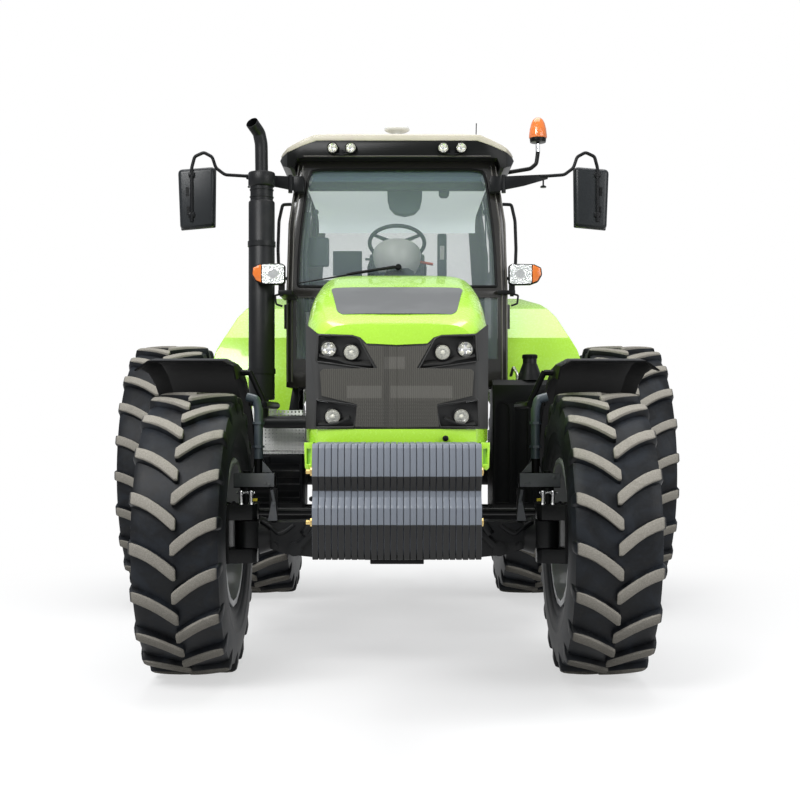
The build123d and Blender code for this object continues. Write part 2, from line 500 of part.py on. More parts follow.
with BuildPart() as insert:
    lift, skin = SEAT, 5.0
    crest = [(y, top) for y, bottom, half, top in BONNET_STATIONS[1:4]]
    crest[0] = (-2185.0, 1742.0 + (1838.0 - 1742.0) * 30.0 / 265.0)
    slab = [(y, z + lift) for y, z in crest] + [(y, z + lift + skin) for y, z in reversed(crest)]
    prism_x(slab, -400.0, 400.0)
    prism_z([(-258.0, -2170.0), (0.0, -2182.0), (258.0, -2170.0), (272.0, -2150.0), (322.0, -1650.0),
             (300.0, -1630.0), (0.0, -1626.0), (-300.0, -1630.0), (-322.0, -1650.0), (-272.0, -2150.0)],
            1700.0, 2000.0, Mode.INTERSECT)
save(insert, "bonnet_insert")

# lamp pocket outlines, x and z, and the lamps in them: x, z
UPPER_POCKET = ((345.0, 1544.0), (95.0, 1508.0), (165.0, 1636.0), (190.0, 1646.0), (335.0, 1650.0))
LOWER_POCKET = ((350.0, 1262.0), (188.0, 1262.0), (170.0, 1344.0), (345.0, 1374.0))
HEADLAMPS = ((295.0, 1594.0), (197.0, 1581.0), (278.0, 1304.0))
PLATE_Y, POCKET_Y, LAMP_R = BONNET_FRONT_Y + 3.0, BONNET_FRONT_Y + 43.0, 36.0
with BuildPart() as grille:
    shell = [(-399.0, NOSE_CORNER_Y - 2.0), (-338.0, PLATE_Y + 8.0), (0.0, PLATE_Y - 6.0), (338.0, PLATE_Y + 8.0),
             (399.0, NOSE_CORNER_Y - 2.0)]
    back = [(388.0, NOSE_CORNER_Y - 2.0), (334.0, PLATE_Y + 20.0), (-334.0, PLATE_Y + 20.0),
            (-388.0, NOSE_CORNER_Y - 2.0)]
    prism_z(shell + back, 1200.0, 1750.0)
    prism_y(face_outline(SEAT, 401.0), NOSE_CORNER_Y + 10.0, BONNET_FRONT_Y - 20.0, Mode.INTERSECT)
    for s in (1.0, -1.0):
        for pocket in (UPPER_POCKET, LOWER_POCKET):
            deep = [(x + (8.0 if x > 250.0 else -8.0), z) for x, z in pocket]
            prism_y(sided(deep, s), POCKET_Y + 10.0, PLATE_Y + 15.0)
        for pocket in (UPPER_POCKET, LOWER_POCKET):
            prism_y(sided(pocket, s), POCKET_Y, PLATE_Y - 20.0, Mode.SUBTRACT)
save(grille, "grille")

with BuildPart() as headlamps:
    for s in (1.0, -1.0):
        for x, z in HEADLAMPS:
            disc_y(s * x, z, LAMP_R, POCKET_Y - SEAT, PLATE_Y + 12.0, sides=16)
save(headlamps, "headlamps")

# ---------------------------------------------------------------- tank, boxes, steps, exhaust
TANK_IN, TANK_OUT, TANK_REAR_Y, FLUTE_DEPTH = 569.0, 910.0, 60.0, 16.0


def arch(centre, half, low, high):
    """Flute outline with a rounded top."""
    spring = high - half
    return [(centre - half, low), (centre + half, low), (centre + half, spring),
            (centre + 0.7 * half, spring + 0.7 * half), (centre, high),
            (centre - 0.7 * half, spring + 0.7 * half), (centre - half, spring)]


with BuildPart() as tank:
    prism_x([
        (BOX_FRONT_Y, BOX_BOTTOM), (BOX_FRONT_Y, 1500.0), (BOX_FRONT_Y + 30.0, 1532.0), (-150.0, 1532.0),
        (-150.0, 1230.0), (TANK_REAR_Y, 1230.0), (TANK_REAR_Y, BOX_BOTTOM),
    ], TANK_IN, TANK_OUT)
    block(500.0, 675.0, -250.0, 100.0, 1480.0, 1600.0, Mode.SUBTRACT)
    for x in (628.0, 740.0, 852.0):
        prism_y(arch(x, 40.0, 800.0, 1400.0), BOX_FRONT_Y + FLUTE_DEPTH, BOX_FRONT_Y - 1.0, Mode.SUBTRACT)
    for y in (-240.0, -90.0):
        prism_x(arch(y, 50.0, 800.0, 1190.0), TANK_OUT - FLUTE_DEPTH, TANK_OUT + 1.0, Mode.SUBTRACT)
    cone(Plane.XY.offset(1530.0).shift_origin((800.0, -238.0, 1530.0)), 82.0, 44.0, 100.0)
    disc_z(800.0, -238.0, 42.0, 1629.0, 1686.0, sides=16)
save(tank, "fuel_tank")

with BuildPart() as side_box:
    block(-898.0, -561.0, BOX_FRONT_Y, TANK_REAR_Y, BOX_BOTTOM, 1090.0)
    for z in (830.0, 910.0, 990.0):
        block(-880.0, -580.0, BOX_FRONT_Y - 1.0, BOX_FRONT_Y + 8.0, z, z + 40.0, Mode.SUBTRACT)
save(side_box, "side_box")

with BuildPart() as guard_box:
    block(-845.0, -549.0, -320.0, 40.0, 1090.0 + SEAT, 1265.0)
    block(-863.0, -730.0, -320.0, -180.0, 1264.0, 1373.0)
    block(-718.0, -564.0, -320.0, -60.0, 1264.0, 1350.0)
save(guard_box, "perforated_guard")

# tread: inner x, outer x, z
TREADS = ((700.0, 960.0, 490.0), (660.0, 880.0, 740.0), (640.0, 800.0, 990.0), (625.0, 720.0, 1240.0))
STEP_Y = (110.0, 470.0)
with BuildPart() as steps:
    for s in (1.0, -1.0):
        rail = sided([(620.0, CAB_FLOOR - SEAT), (660.0, CAB_FLOOR - SEAT), (700.0, 1250.0), (960.0, 480.0),
                      (900.0, 480.0), (620.0, 1250.0)], s)
        for y in STEP_Y:
            prism_y(rail, y + 5.0, y - 5.0)
        for x0, x1, z in TREADS:
            block(s * x0, s * x1, STEP_Y[0], STEP_Y[1], z, z + 22.0)
save(steps, "steps")

with BuildPart() as exhaust:
    disc_z(MUFFLER_X, MUFFLER_Y, MUFFLER_R, 1408.0, 2655.0, sides=24)
    disc_z(MUFFLER_X, MUFFLER_Y, MUFFLER_R + 2.0, 2576.0, 2734.0, sides=24)
    chain([(MUFFLER_X, MUFFLER_Y, 2733.0), (MUFFLER_X - 3.0, MUFFLER_Y, 2925.0),
           (MUFFLER_X - 20.0, MUFFLER_Y - 24.0, 2975.0), (MUFFLER_X - 46.0, MUFFLER_Y - 72.0, 3004.0)], PIPE_R, 16)
    disc_z(MUFFLER_X, PIPE_Y, 38.0, PIPE_Z - 38.0, 1409.0, sides=16)
    disc_x(PIPE_Y, PIPE_Z, 38.0, MUFFLER_X, -280.0 - SEAT, sides=16)
    mouth = Vector(MUFFLER_X - 46.0, MUFFLER_Y - 72.0, 3004.0)
    outward = Vector(-26.0, -48.0, 29.0).normalized()
    rod(tuple(mouth - outward * 30.0), tuple(mouth + outward * 30.0), PIPE_R - 4.0, Mode.SUBTRACT, 16)
save(exhaust, "exhaust")

# ---------------------------------------------------------------- cab
# cab side: half width and height, from the floor up; cab rear: y and height
CAB_SIDE = ((CAB_HALF_LOW, CAB_FLOOR), (CAB_HALF_LOW, CAB_WAIST), (CAB_HALF_MID, CAB_BOW), (CAB_HALF_TOP, CAB_TOP))
CAB_FRONT = ((CAB_FRONT_Y, CAB_FLOOR), (CAB_FRONT_Y, CAB_WAIST), (CAB_FRONT_TOP_Y, CAB_TOP))
CAB_REAR = ((CAB_REAR_Y, CAB_FLOOR), (CAB_REAR_Y, CAB_REAR_WAIST), (CAB_REAR_TOP_Y, CAB_TOP))


def height_in(z, inset):
    """Heights of the cab's outline moved inside its floor and roof."""
    return z + (CAB_FLOOR_T if z == CAB_FLOOR else -inset if z == CAB_TOP else 0.0) * (1.0 if inset else 0.0)


def cab_body(inset):
    """Cab volume: side outline crossed with front outline, drawn in by the inset."""
    side_points = [(y + inset, height_in(z, inset)) for y, z in CAB_FRONT]
    side_points += [(y - inset, height_in(z, inset)) for y, z in reversed(CAB_REAR)]
    front_points = mirrored([(half - inset, height_in(z, inset)) for half, z in CAB_SIDE])
    with BuildPart(mode=Mode.PRIVATE) as body:
        prism_x(side_points, -800.0, 800.0)
        prism_y(front_points, 1500.0, -400.0, Mode.INTERSECT)
    return body.part


def skin(line, depth0, depth1, sign):
    """Band between two depths under an outline that runs from the floor to the roof."""
    return [(a - sign * depth0, z) for a, z in line] + [(a - sign * depth1, z) for a, z in reversed(line)]


def panel_side(s, depth0, depth1, outline):
    """Panel in the cab's side, between two depths under its outer surface."""
    prism_y(sided(skin(CAB_SIDE, depth0, depth1, 1.0), s), 1500.0, -400.0)
    prism_x(outline, s * 400.0, s * 800.0, Mode.INTERSECT)


def panel_end(line, sign, outline, y0, y1):
    """Pane in the cab's front or rear."""
    prism_x(skin(line, GLASS_DEPTH, GLASS_DEPTH + GLASS_T, sign), -700.0, 700.0)
    prism_y(outline, y1, y0, Mode.INTERSECT)


def side_x(z):
    """Half width of the cab at a height above its waist."""
    if z < CAB_BOW:
        return CAB_HALF_LOW + (z - CAB_WAIST) / (CAB_BOW - CAB_WAIST) * (CAB_HALF_MID - CAB_HALF_LOW)
    return CAB_HALF_MID + (z - CAB_BOW) / (CAB_TOP - CAB_BOW) * (CAB_HALF_TOP - CAB_HALF_MID)


def front_y(z):
    """Just ahead of the cab's front face at a height above its waist."""
    return CAB_FRONT_Y + (z - CAB_WAIST) / (CAB_TOP - CAB_WAIST) * (CAB_FRONT_TOP_Y - CAB_FRONT_Y) - SEAT


DOOR_OPENING = [(DOOR_FRONT_Y, DOOR_BOTTOM), (DOOR_FRONT_Y, 2150.0), (DOOR_FRONT_Y + 35.0, DOOR_TOP),
                (DOOR_REAR_Y, DOOR_TOP), (DOOR_REAR_Y, DOOR_BOTTOM)]
DOOR_GLASS = [(DOOR_FRONT_Y + FRAME_WIDTH, DOOR_BOTTOM + 90.0), (DOOR_FRONT_Y + FRAME_WIDTH, 2140.0),
              (DOOR_FRONT_Y + FRAME_WIDTH + 32.0, DOOR_TOP - 55.0), (DOOR_REAR_Y - 55.0, DOOR_TOP - 55.0),
              (DOOR_REAR_Y - 55.0, DOOR_BOTTOM + 90.0)]
QUARTER_GLASS = [(575.0, 2290.0), (575.0, 2760.0), (1170.0, 2760.0), (1210.0, 2290.0)]
WINDSCREEN = mirrored([(CAB_HALF_LOW - 69.0, 2092.0), (CAB_HALF_LOW - 76.0, 2300.0), (CAB_HALF_MID - 82.0, CAB_BOW),
                       (CAB_HALF_TOP - 60.0, 2812.0)])
REAR_GLASS = mirrored([(CAB_HALF_LOW - 107.0, 1900.0), (CAB_HALF_LOW - 107.0, 2080.0), (CAB_HALF_TOP - 90.0, 2800.0)])
FOOT_GLASS = [(450.0, 1660.0), (450.0, 2030.0), (CAB_HALF_LOW - 59.0, 2030.0), (CAB_HALF_LOW - 59.0, 1660.0)]

with BuildPart() as cab_frame:
    add(cab_body(0.0))
    add(cab_body(CAB_WALL), mode=Mode.SUBTRACT)
    prism_y(WINDSCREEN, 0.0, -400.0, Mode.SUBTRACT)
    prism_y(REAR_GLASS, 1500.0, 1100.0, Mode.SUBTRACT)
    for s in (1.0, -1.0):
        prism_x(DOOR_OPENING, s * 500.0, s * 760.0, Mode.SUBTRACT)
        prism_x(QUARTER_GLASS, s * 500.0, s * 760.0, Mode.SUBTRACT)
        prism_y(sided(FOOT_GLASS, s), 0.0, -400.0, Mode.SUBTRACT)
        for z in DOOR_HINGE_ZS:
            disc_z(s * DOOR_HINGE_X, DOOR_HINGE_Y, DOOR_PIN_R, z - 34.0, z + 34.0)
            for end in (-34.0, 26.0):
                block(s * (CAB_HALF_LOW - 2.0), s * (DOOR_HINGE_X + 8.0), 501.0, 540.0, z + end, z + end + 8.0)
save(cab_frame, "cab_frame")

door_outline = shrink(DOOR_OPENING, DOOR_GAP)
for side, s in SIDES:
    with BuildPart() as door:
        panel_side(s, 0.0, DOOR_T, door_outline)
        prism_x(DOOR_GLASS, s * 400.0, s * 800.0, Mode.SUBTRACT)
        for z in DOOR_HINGE_ZS:
            block(s * 655.0, s * (DOOR_HINGE_X + 10.0), 470.0, 493.0, z - 20.0, z + 20.0)
            block(s * (CAB_HALF_LOW + 5.0), s * (DOOR_HINGE_X + 10.0), 470.0, DOOR_HINGE_Y + 9.0, z - 20.0, z + 20.0)
            disc_z(s * DOOR_HINGE_X, DOOR_HINGE_Y, DOOR_PIN_R + PIN_CLEAR, z - 25.0, z + 25.0, Mode.SUBTRACT)
        block(s * (CAB_HALF_LOW - 1.0), s * (CAB_HALF_LOW + 24.0), -112.0, -92.0, 1850.0, 2000.0)
    save(door, "door_" + side)
    with BuildPart() as door_glass:
        panel_side(s, GLASS_DEPTH, GLASS_DEPTH + GLASS_T, shrink(DOOR_GLASS, SEAT))
    save(door_glass, "door_glass_" + side)

panes = []
with BuildPart(mode=Mode.PRIVATE) as pane:
    panel_end(CAB_FRONT, -1.0, shrink(WINDSCREEN, SEAT), -400.0, 0.0)
panes.append(pane.part)
with BuildPart(mode=Mode.PRIVATE) as pane:
    panel_end(CAB_REAR, 1.0, shrink(REAR_GLASS, SEAT), 1000.0, 1500.0)
panes.append(pane.part)
for s in (1.0, -1.0):
    with BuildPart(mode=Mode.PRIVATE) as pane:
        panel_side(s, GLASS_DEPTH, GLASS_DEPTH + GLASS_T, shrink(QUARTER_GLASS, SEAT))
    panes.append(pane.part)
    with BuildPart(mode=Mode.PRIVATE) as pane:
        panel_end(CAB_FRONT, -1.0, sided(shrink(FOOT_GLASS, SEAT), s), -400.0, 0.0)
    panes.append(pane.part)
with BuildPart() as windows:
    for pane in panes:
        add(pane)
save(windows, "cab_windows")

# ---------------------------------------------------------------- roof
# half outlines, x and z: dark base with drooping sides, cream cap
ROOF_BASE = ((CAB_HALF_TOP, CAB_TOP + SEAT), (621.0, 2812.0), (642.0, 2802.0), (692.0, 2828.0), (712.0, 2868.0),
             (700.0, 2884.0), (600.0, 2918.0), (480.0, ROOF_SPLIT))
ROOF_CAP = ((480.0, ROOF_SPLIT + SEAT), (600.0, 2918.0 + SEAT), (700.0, 2884.0 + SEAT), (706.0, 2892.0),
            (690.0, 2910.0), (629.0, 2942.0), (520.0, 2986.0), (430.0, 3028.0), (290.0, 3072.0), (150.0, 3089.0))
ROOF_PLAN = ((560.0, ROOF_FRONT_Y), (660.0, ROOF_FRONT_Y + 40.0), (712.0, ROOF_FRONT_Y + 140.0),
             (712.0, ROOF_REAR_Y - 110.0), (640.0, ROOF_REAR_Y))
with BuildPart() as roof_base:
    prism_y(mirrored(ROOF_BASE), ROOF_REAR_Y, ROOF_FRONT_Y)
    prism_z(mirrored(ROOF_PLAN), 2700.0, 3200.0, Mode.INTERSECT)
    chain([(690.0, BEACON_Y, 2866.0), (850.0, BEACON_Y, 2893.0), (888.0, BEACON_Y, 2925.0),
           (BEACON_X, BEACON_Y, 3040.0), (BEACON_X, BEACON_Y, 3064.0)], 11.0)
    disc_z(BEACON_X, BEACON_Y, 50.0, 3060.0, 3085.0, sides=16)
save(roof_base, "roof_base")

with BuildPart() as cab_roof:
    prism_y(mirrored(ROOF_CAP), ROOF_REAR_Y, ROOF_FRONT_Y)
    prism_x([(ROOF_FRONT_Y, 2800.0), (ROOF_FRONT_Y, 2996.0), (-150.0, 3036.0), (0.0, 3070.0), (150.0, 3092.0),
             (1250.0, 3092.0), (ROOF_REAR_Y, 3010.0), (ROOF_REAR_Y, 2800.0)], -800.0, 800.0, Mode.INTERSECT)
    prism_z(mirrored(ROOF_PLAN), 2700.0, 3200.0, Mode.INTERSECT)
save(cab_roof, "cab_roof")

with BuildPart() as work_lamps:
    for s in (1.0, -1.0):
        for x in (276.0, 384.0):
            disc_y(s * x, 2914.0, 34.0, ROOF_FRONT_Y - SEAT, ROOF_FRONT_Y - 28.0, sides=16)
            disc_y(s * x, 2914.0, 34.0, ROOF_REAR_Y + 28.0, ROOF_REAR_Y + SEAT, sides=16)
save(work_lamps, "work_lamps")

DOME_Y = 150.0
with BuildPart() as dome:
    disc_z(0.0, DOME_Y, 26.0, 3089.0 + SEAT, 3112.0, sides=16)
    cone(Plane(origin=(0.0, DOME_Y, 3110.0)), 26.0, 80.0, 30.0, sides=20)
    cone(Plane(origin=(0.0, DOME_Y, 3139.0)), 80.0, 58.0, 27.0, sides=20)
    rod((500.0, DOME_Y, 2995.8), (503.0, DOME_Y, 3177.0), 4.0)
save(dome, "roof_dome")

with BuildPart() as beacon:
    cone(Plane(origin=(BEACON_X, BEACON_Y, 3085.0 + SEAT)), 58.0, 52.0, 90.0)
    cone(Plane(origin=(BEACON_X, BEACON_Y, 3175.0)), 52.0, 30.0, 46.0)
save(beacon, "beacon")

# ---------------------------------------------------------------- fenders
FENDER_IN = CAB_HALF_LOW + SEAT
FENDER_FRONT_Y, FENDER_REAR_Y = 548.0, 2440.0
FENDER_SIDE = ((FENDER_FRONT_Y, 1300.0), (FENDER_FRONT_Y + 14.0, 1560.0), (660.0, 1850.0), (860.0, 2065.0),
               (1150.0, 2164.0), (1950.0, 2164.0), (2260.0, 2030.0), (FENDER_REAR_Y, 1800.0), (FENDER_REAR_Y, 1620.0))
FENDER_HOLLOW = ((FENDER_FRONT_Y + 12.0, 1200.0), (FENDER_FRONT_Y + 27.0, 1556.0), (671.0, 1843.0), (867.0, 2055.0),
                 (1152.0, 2152.0), (1947.0, 2152.0), (2252.0, 2021.0), (FENDER_REAR_Y - 12.0, 1796.0),
                 (FENDER_REAR_Y - 12.0, 1200.0))
FENDER_FRONT = ((FENDER_IN, 1300.0), (FENDER_IN, 2176.0), (885.0, 2162.0), (1010.0, 2106.0), (1098.0, 1998.0),
                (1155.0, 1880.0), (1218.0, 1765.0), (FENDER_OUT, 1690.0), (1000.0, 1300.0))
FENDER_UNDER = ((FENDER_IN + 8.0, 1200.0), (FENDER_IN + 8.0, 2166.0), (882.0, 2150.0), (1002.0, 2096.0),
                (1087.0, 1992.0), (1144.0, 1875.0), (1206.0, 1761.0), (FENDER_OUT - FENDER_T, 1688.0),
                (FENDER_OUT - FENDER_T, 1200.0))
halves = []
for s in (1.0, -1.0):
    with BuildPart(mode=Mode.PRIVATE) as hollow:
        prism_x(FENDER_HOLLOW, s * (FENDER_IN + 8.0), s * 1350.0)
        prism_y(sided(FENDER_UNDER, s), 2500.0, 500.0, Mode.INTERSECT)
    with BuildPart(mode=Mode.PRIVATE) as half_fender:
        prism_x(FENDER_SIDE, s * FENDER_IN, s * FENDER_OUT)
        prism_y(sided(FENDER_FRONT, s), 2500.0, 500.0, Mode.INTERSECT)
        add(hollow.part, mode=Mode.SUBTRACT)
        disc_x(REAR_AXLE_Y, REAR_TYRE_R, REAR_TYRE_R + FENDER_CLEAR, s * 700.0, s * 1400.0, Mode.SUBTRACT, 40)
    halves.append(half_fender.part)
with BuildPart() as fenders:
    for half in halves:
        add(half)
save(fenders, "rear_fenders")

# ---------------------------------------------------------------- cab inside
INSIDE = CAB_FLOOR + CAB_FLOOR_T
with BuildPart() as seat_base:
    block(-200.0, 200.0, 760.0, 1140.0, INSIDE + SEAT, 1800.0)
    block(-240.0, 240.0, 700.0, 1180.0, 1799.0, 1860.0)
save(seat_base, "seat_base")
with BuildPart() as cushion:
    prism_x([(690.0, 1870.0), (700.0, 1860.0 + SEAT), (1170.0, 1860.0 + SEAT), (1170.0, 1960.0), (720.0, 1960.0),
             (690.0, 1940.0)], -250.0, 250.0)
    prism_x([(1120.0, 1950.0), (1120.0, 2440.0), (1150.0, 2540.0), (1215.0, 2540.0), (1230.0, 1900.0),
             (1165.0, 1900.0)], -235.0, 235.0)
save(cushion, "seat")

TILT = math.radians(WHEEL_TILT)
WHEEL_AXIS = (0.0, math.sin(TILT), math.cos(TILT))


def along(distance):
    """Point on the steering axis at a distance above the wheel's centre."""
    return tuple(c + distance * a for c, a in zip(WHEEL_C, WHEEL_AXIS))


with BuildPart() as column:
    prism_x([(-40.0, INSIDE + SEAT), (150.0, INSIDE + SEAT), (230.0, 2150.0), (120.0, 2230.0), (20.0, 2080.0)],
            -110.0, 110.0)
    cone(Plane(origin=along(-250.0), x_dir=(1, 0, 0), z_dir=WHEEL_AXIS), 66.0, 150.0, 170.0, sides=20)
    rod(along(-340.0), along(-245.0), 45.0, sides=16)
    rod(along(-90.0), along(-35.0), 14.0, sides=0)
save(column, "steering_column")

GRIP_SIDES = 20
with BuildPart() as steering_wheel:
    ring = Plane(origin=along(-GRIP_R), x_dir=(1, 0, 0), z_dir=WHEEL_AXIS)
    disc(ring, (0, 0), WHEEL_R + GRIP_R, 2.0 * GRIP_R, Mode.ADD, GRIP_SIDES)
    disc(ring, (0, 0), WHEEL_R - GRIP_R, 2.0 * GRIP_R, Mode.SUBTRACT, GRIP_SIDES)
    rod(along(-60.0), along(0.0), 30.0, sides=16)
    for angle in (90.0, 210.0, 330.0):
        turn = math.radians(angle)
        tip = (WHEEL_R * math.cos(turn), WHEEL_C[1] + WHEEL_R * math.sin(turn) * WHEEL_AXIS[2],
               WHEEL_C[2] - WHEEL_R * math.sin(turn) * WHEEL_AXIS[1])
        rod(along(-16.0), tip, 9.0)
    rod(along(-61.0), along(-34.0), 14.0 + PIN_CLEAR, Mode.SUBTRACT, 0)
save(steering_wheel, "steering_wheel")

with BuildPart() as console:
    prism_x([(560.0, INSIDE + SEAT), (1250.0, INSIDE + SEAT), (1250.0, 2100.0), (1100.0, 2150.0), (700.0, 2150.0),
             (560.0, 2080.0)], -(CAB_HALF_LOW - 207.0), -270.0)
    block(-440.0, -290.0, 480.0, 562.0, 1900.0, 2200.0)
    block(-420.0, -230.0, 400.0, 425.0, 2240.0, 2400.0)
    rod((-350.0, 520.0, 2190.0), (-330.0, 420.0, 2300.0), 10.0)
    for x, y in ((-330.0, 760.0), (-390.0, 860.0)):
        rod((x, y, 2145.0), (x, y - 40.0, 2260.0), 9.0)
save(console, "control_console")

# ---------------------------------------------------------------- mirrors, side lamps, rails
MIRROR_LOW, MIRROR_TOP, MIRROR_Y = 2432.0, 2815.0, -290.0
with BuildPart() as mirrors:
    # side, inner x, outer x, upright's x
    for s, inner, outer, upright in ((1.0, 1062.0, 1273.0, 1200.0), (-1.0, 1090.0, 1316.0, 1229.0)):
        prism_x([(-275.0, 2660.0), (front_y(2660.0), 2660.0), (front_y(2755.0), 2755.0), (-275.0, 2755.0)],
                s * 560.0, s * 622.0)
        prism_y(sided([(600.0, 2664.0), (905.0, 2738.0), (905.0, 2766.0), (600.0, 2752.0)], s), -262.0, -274.0)
        chain([(s * 880.0, -268.0, 2752.0), (s * (inner - 60.0), MIRROR_Y, 2758.0), (s * (inner - 8.0), MIRROR_Y, 2800.0),
               (s * (inner + 20.0), MIRROR_Y, 2870.0), (s * (inner + 70.0), MIRROR_Y, 2894.0),
               (s * (upright - 18.0), MIRROR_Y, 2872.0), (s * upright, MIRROR_Y, 2810.0),
               (s * upright, MIRROR_Y, 2500.0)], 10.0)
        housing = sided([(inner + 4.0, MIRROR_LOW + 20.0), (outer - 14.0, MIRROR_LOW), (outer, MIRROR_TOP - 20.0),
                         (inner, MIRROR_TOP)], s)
        prism_y(housing, -225.0, MIRROR_Y + 5.0, rounding=24.0)
        rod((s * 878.0, -268.0, 2742.0), (s * 878.0, -268.0, 2690.0), 6.0)
save(mirrors, "mirrors")

# side, front of the lamp, inner x, bottom z, size against the left lamp: the right one stands ahead of the muffler
LAMP_PLACES = ((1.0, -300.0, 666.0, 2098.0, 1.0), (-1.0, -620.0, 638.0, 2064.0, 0.958))
# lamp outline: distances from the inner x and the bottom
LAMP_OUTLINE = ((2.0, 10.0), (24.0, 0.0), (134.0, 2.0), (184.0, 22.0), (206.0, 62.0), (200.0, 108.0), (154.0, 128.0),
                (24.0, 130.0), (0.0, 114.0))
with BuildPart() as side_lamps:
    for s, front, inner, bottom, size in LAMP_PLACES:
        rear = front + 55.0
        block(s * 600.0, s * (inner + 44.0), rear - 30.0, CAB_FRONT_Y - SEAT, bottom - 52.0, bottom - 28.0)
        block(s * (inner + 4.0), s * (inner + 44.0), rear - 30.0, rear - 5.0, bottom - 29.0, bottom + 12.0)
        prism_y(sided([(inner + size * dx, bottom + size * dz) for dx, dz in LAMP_OUTLINE], s), rear, front)
save(side_lamps, "side_lamps")

RAIL_Y = -190.0
with BuildPart() as rails:
    for s in (1.0, -1.0):
        chain([(s * (side_x(2600.0) + 1.8), RAIL_Y, 2600.0), (s * 700.0, RAIL_Y, 2600.0), (s * 722.0, RAIL_Y, 2330.0),
               (s * 716.0, RAIL_Y, 2150.0), (s * (side_x(2150.0) + 4.6), RAIL_Y, 2150.0)], 10.0)
save(rails, "grab_rails")

with BuildPart() as rear_lamps:
    for s in (1.0, -1.0):
        block(s * 760.0, s * 1000.0, FENDER_REAR_Y + SEAT, FENDER_REAR_Y + 40.0, 1660.0, 1780.0)
save(rear_lamps, "rear_lamps")

# ---------------------------------------------------------------- three-point hitch, drawbar
PLATE_REAR, CHEEK = HOUSING_REAR_Y + 20.0, 18.0
TOP_LINK_A, TOP_LINK_B = (0.0, 1910.0, 1080.0), (0.0, 2560.0, 1180.0)
with BuildPart() as hitch_frame:
    block(-360.0, 360.0, HOUSING_REAR_Y + SEAT, PLATE_REAR, 480.0, 1180.0)
    for s in (1.0, -1.0):
        for x in (LINK_X - 42.0, LINK_X + 24.0):
            block(s * x, s * (x + CHEEK), PLATE_REAR - 5.0, HITCH_TOP_Y + 30.0, HITCH_TOP_Z - 110.0, HITCH_TOP_Z + 30.0)
            block(s * x, s * (x + CHEEK), PLATE_REAR - 5.0, HITCH_LOW_Y + 30.0, HITCH_LOW_Z - 30.0, HITCH_LOW_Z + 30.0)
        for y, z in ((HITCH_TOP_Y, HITCH_TOP_Z), (HITCH_LOW_Y, HITCH_LOW_Z)):
            disc_x(y, z, HITCH_PIN_R, s * (LINK_X - 44.0), s * (LINK_X + 44.0))
    for x in (-40.0, 22.0):
        block(x, x + CHEEK, PLATE_REAR - 5.0, 1940.0, 1040.0, 1120.0)
    disc_x(1910.0, 1080.0, 14.0, -42.0, 42.0)
    # rest under the top link
    prism_x([(PLATE_REAR - 5.0, 960.0), (PLATE_REAR - 5.0, 1020.0), (2150.0, 1096.6), (2190.0, 1102.7), (2190.0, 1085.0)],
            -15.0, 15.0)
save(hitch_frame, "hitch_frame")

rod_y, rod_z = HITCH_TOP_Y + LINK_DY, HITCH_TOP_Z + LINK_DZ
with BuildPart() as lift_arms:
    for s in (1.0, -1.0):
        prism_x([(HITCH_TOP_Y - 34.0, HITCH_TOP_Z - 34.0), (rod_y - 20.0, rod_z - 34.0), (rod_y + 34.0, rod_z - 10.0),
                 (rod_y + 34.0, rod_z + 30.0), (HITCH_TOP_Y - 20.0, HITCH_TOP_Z + 40.0)],
                s * (LINK_X - 17.0), s * (LINK_X + 17.0))
        disc_x(HITCH_TOP_Y, HITCH_TOP_Z, HITCH_PIN_R + PIN_CLEAR, s * (LINK_X - 30.0), s * (LINK_X + 30.0),
               Mode.SUBTRACT)
        disc_x(rod_y, rod_z, ROD_PIN_R, s * (LINK_X - 17.0), s * (LINK_X + 62.0))
    disc_x(HITCH_TOP_Y + 120.0, HITCH_TOP_Z - 10.0, 24.0, -(LINK_X - 16.0), LINK_X - 16.0, sides=12)
save(lift_arms, "lift_arms")

with BuildPart() as lift_rods:
    for s in (1.0, -1.0):
        x = s * (LINK_X + ROD_OUT)
        top = (x, rod_y, rod_z)
        low = (x, HITCH_LOW_Y + LINK_DY, HITCH_LOW_Z + LINK_DZ)
        rod(low, top, 15.0)
        for centre in (top, low):
            disc_x(centre[1], centre[2], 30.0, x - 14.0, x + 14.0, sides=16)
            disc_x(centre[1], centre[2], ROD_PIN_R + PIN_CLEAR, x - 20.0, x + 20.0, Mode.SUBTRACT)
save(lift_rods, "lift_rods")

EYE_Y = REAR_END_Y - EYE_R
EYE_Z = HITCH_LOW_Z + LINK_DZ / LINK_DY * (EYE_Y - HITCH_LOW_Y)
with BuildPart() as lower_links:
    for s in (1.0, -1.0):
        prism_x([(HITCH_LOW_Y - 30.0, HITCH_LOW_Z - 34.0), (EYE_Y, EYE_Z - 34.0), (EYE_Y, EYE_Z + 34.0),
                 (HITCH_LOW_Y - 30.0, HITCH_LOW_Z + 34.0)], s * (LINK_X - 15.0), s * (LINK_X + 15.0))
        disc_x(EYE_Y, EYE_Z, EYE_R, s * (LINK_X - EYE_HALF), s * (LINK_X + EYE_HALF), sides=20)
        disc_x(EYE_Y, EYE_Z, EYE_BORE_R, s * (LINK_X - 30.0), s * (LINK_X + 30.0), Mode.SUBTRACT)
        disc_x(HITCH_LOW_Y, HITCH_LOW_Z, HITCH_PIN_R + PIN_CLEAR, s * (LINK_X - 30.0), s * (LINK_X + 30.0),
               Mode.SUBTRACT)
        disc_x(HITCH_LOW_Y + LINK_DY, HITCH_LOW_Z + LINK_DZ, ROD_PIN_R, s * (LINK_X + 15.0), s * (LINK_X + 62.0))
save(lower_links, "lower_links")

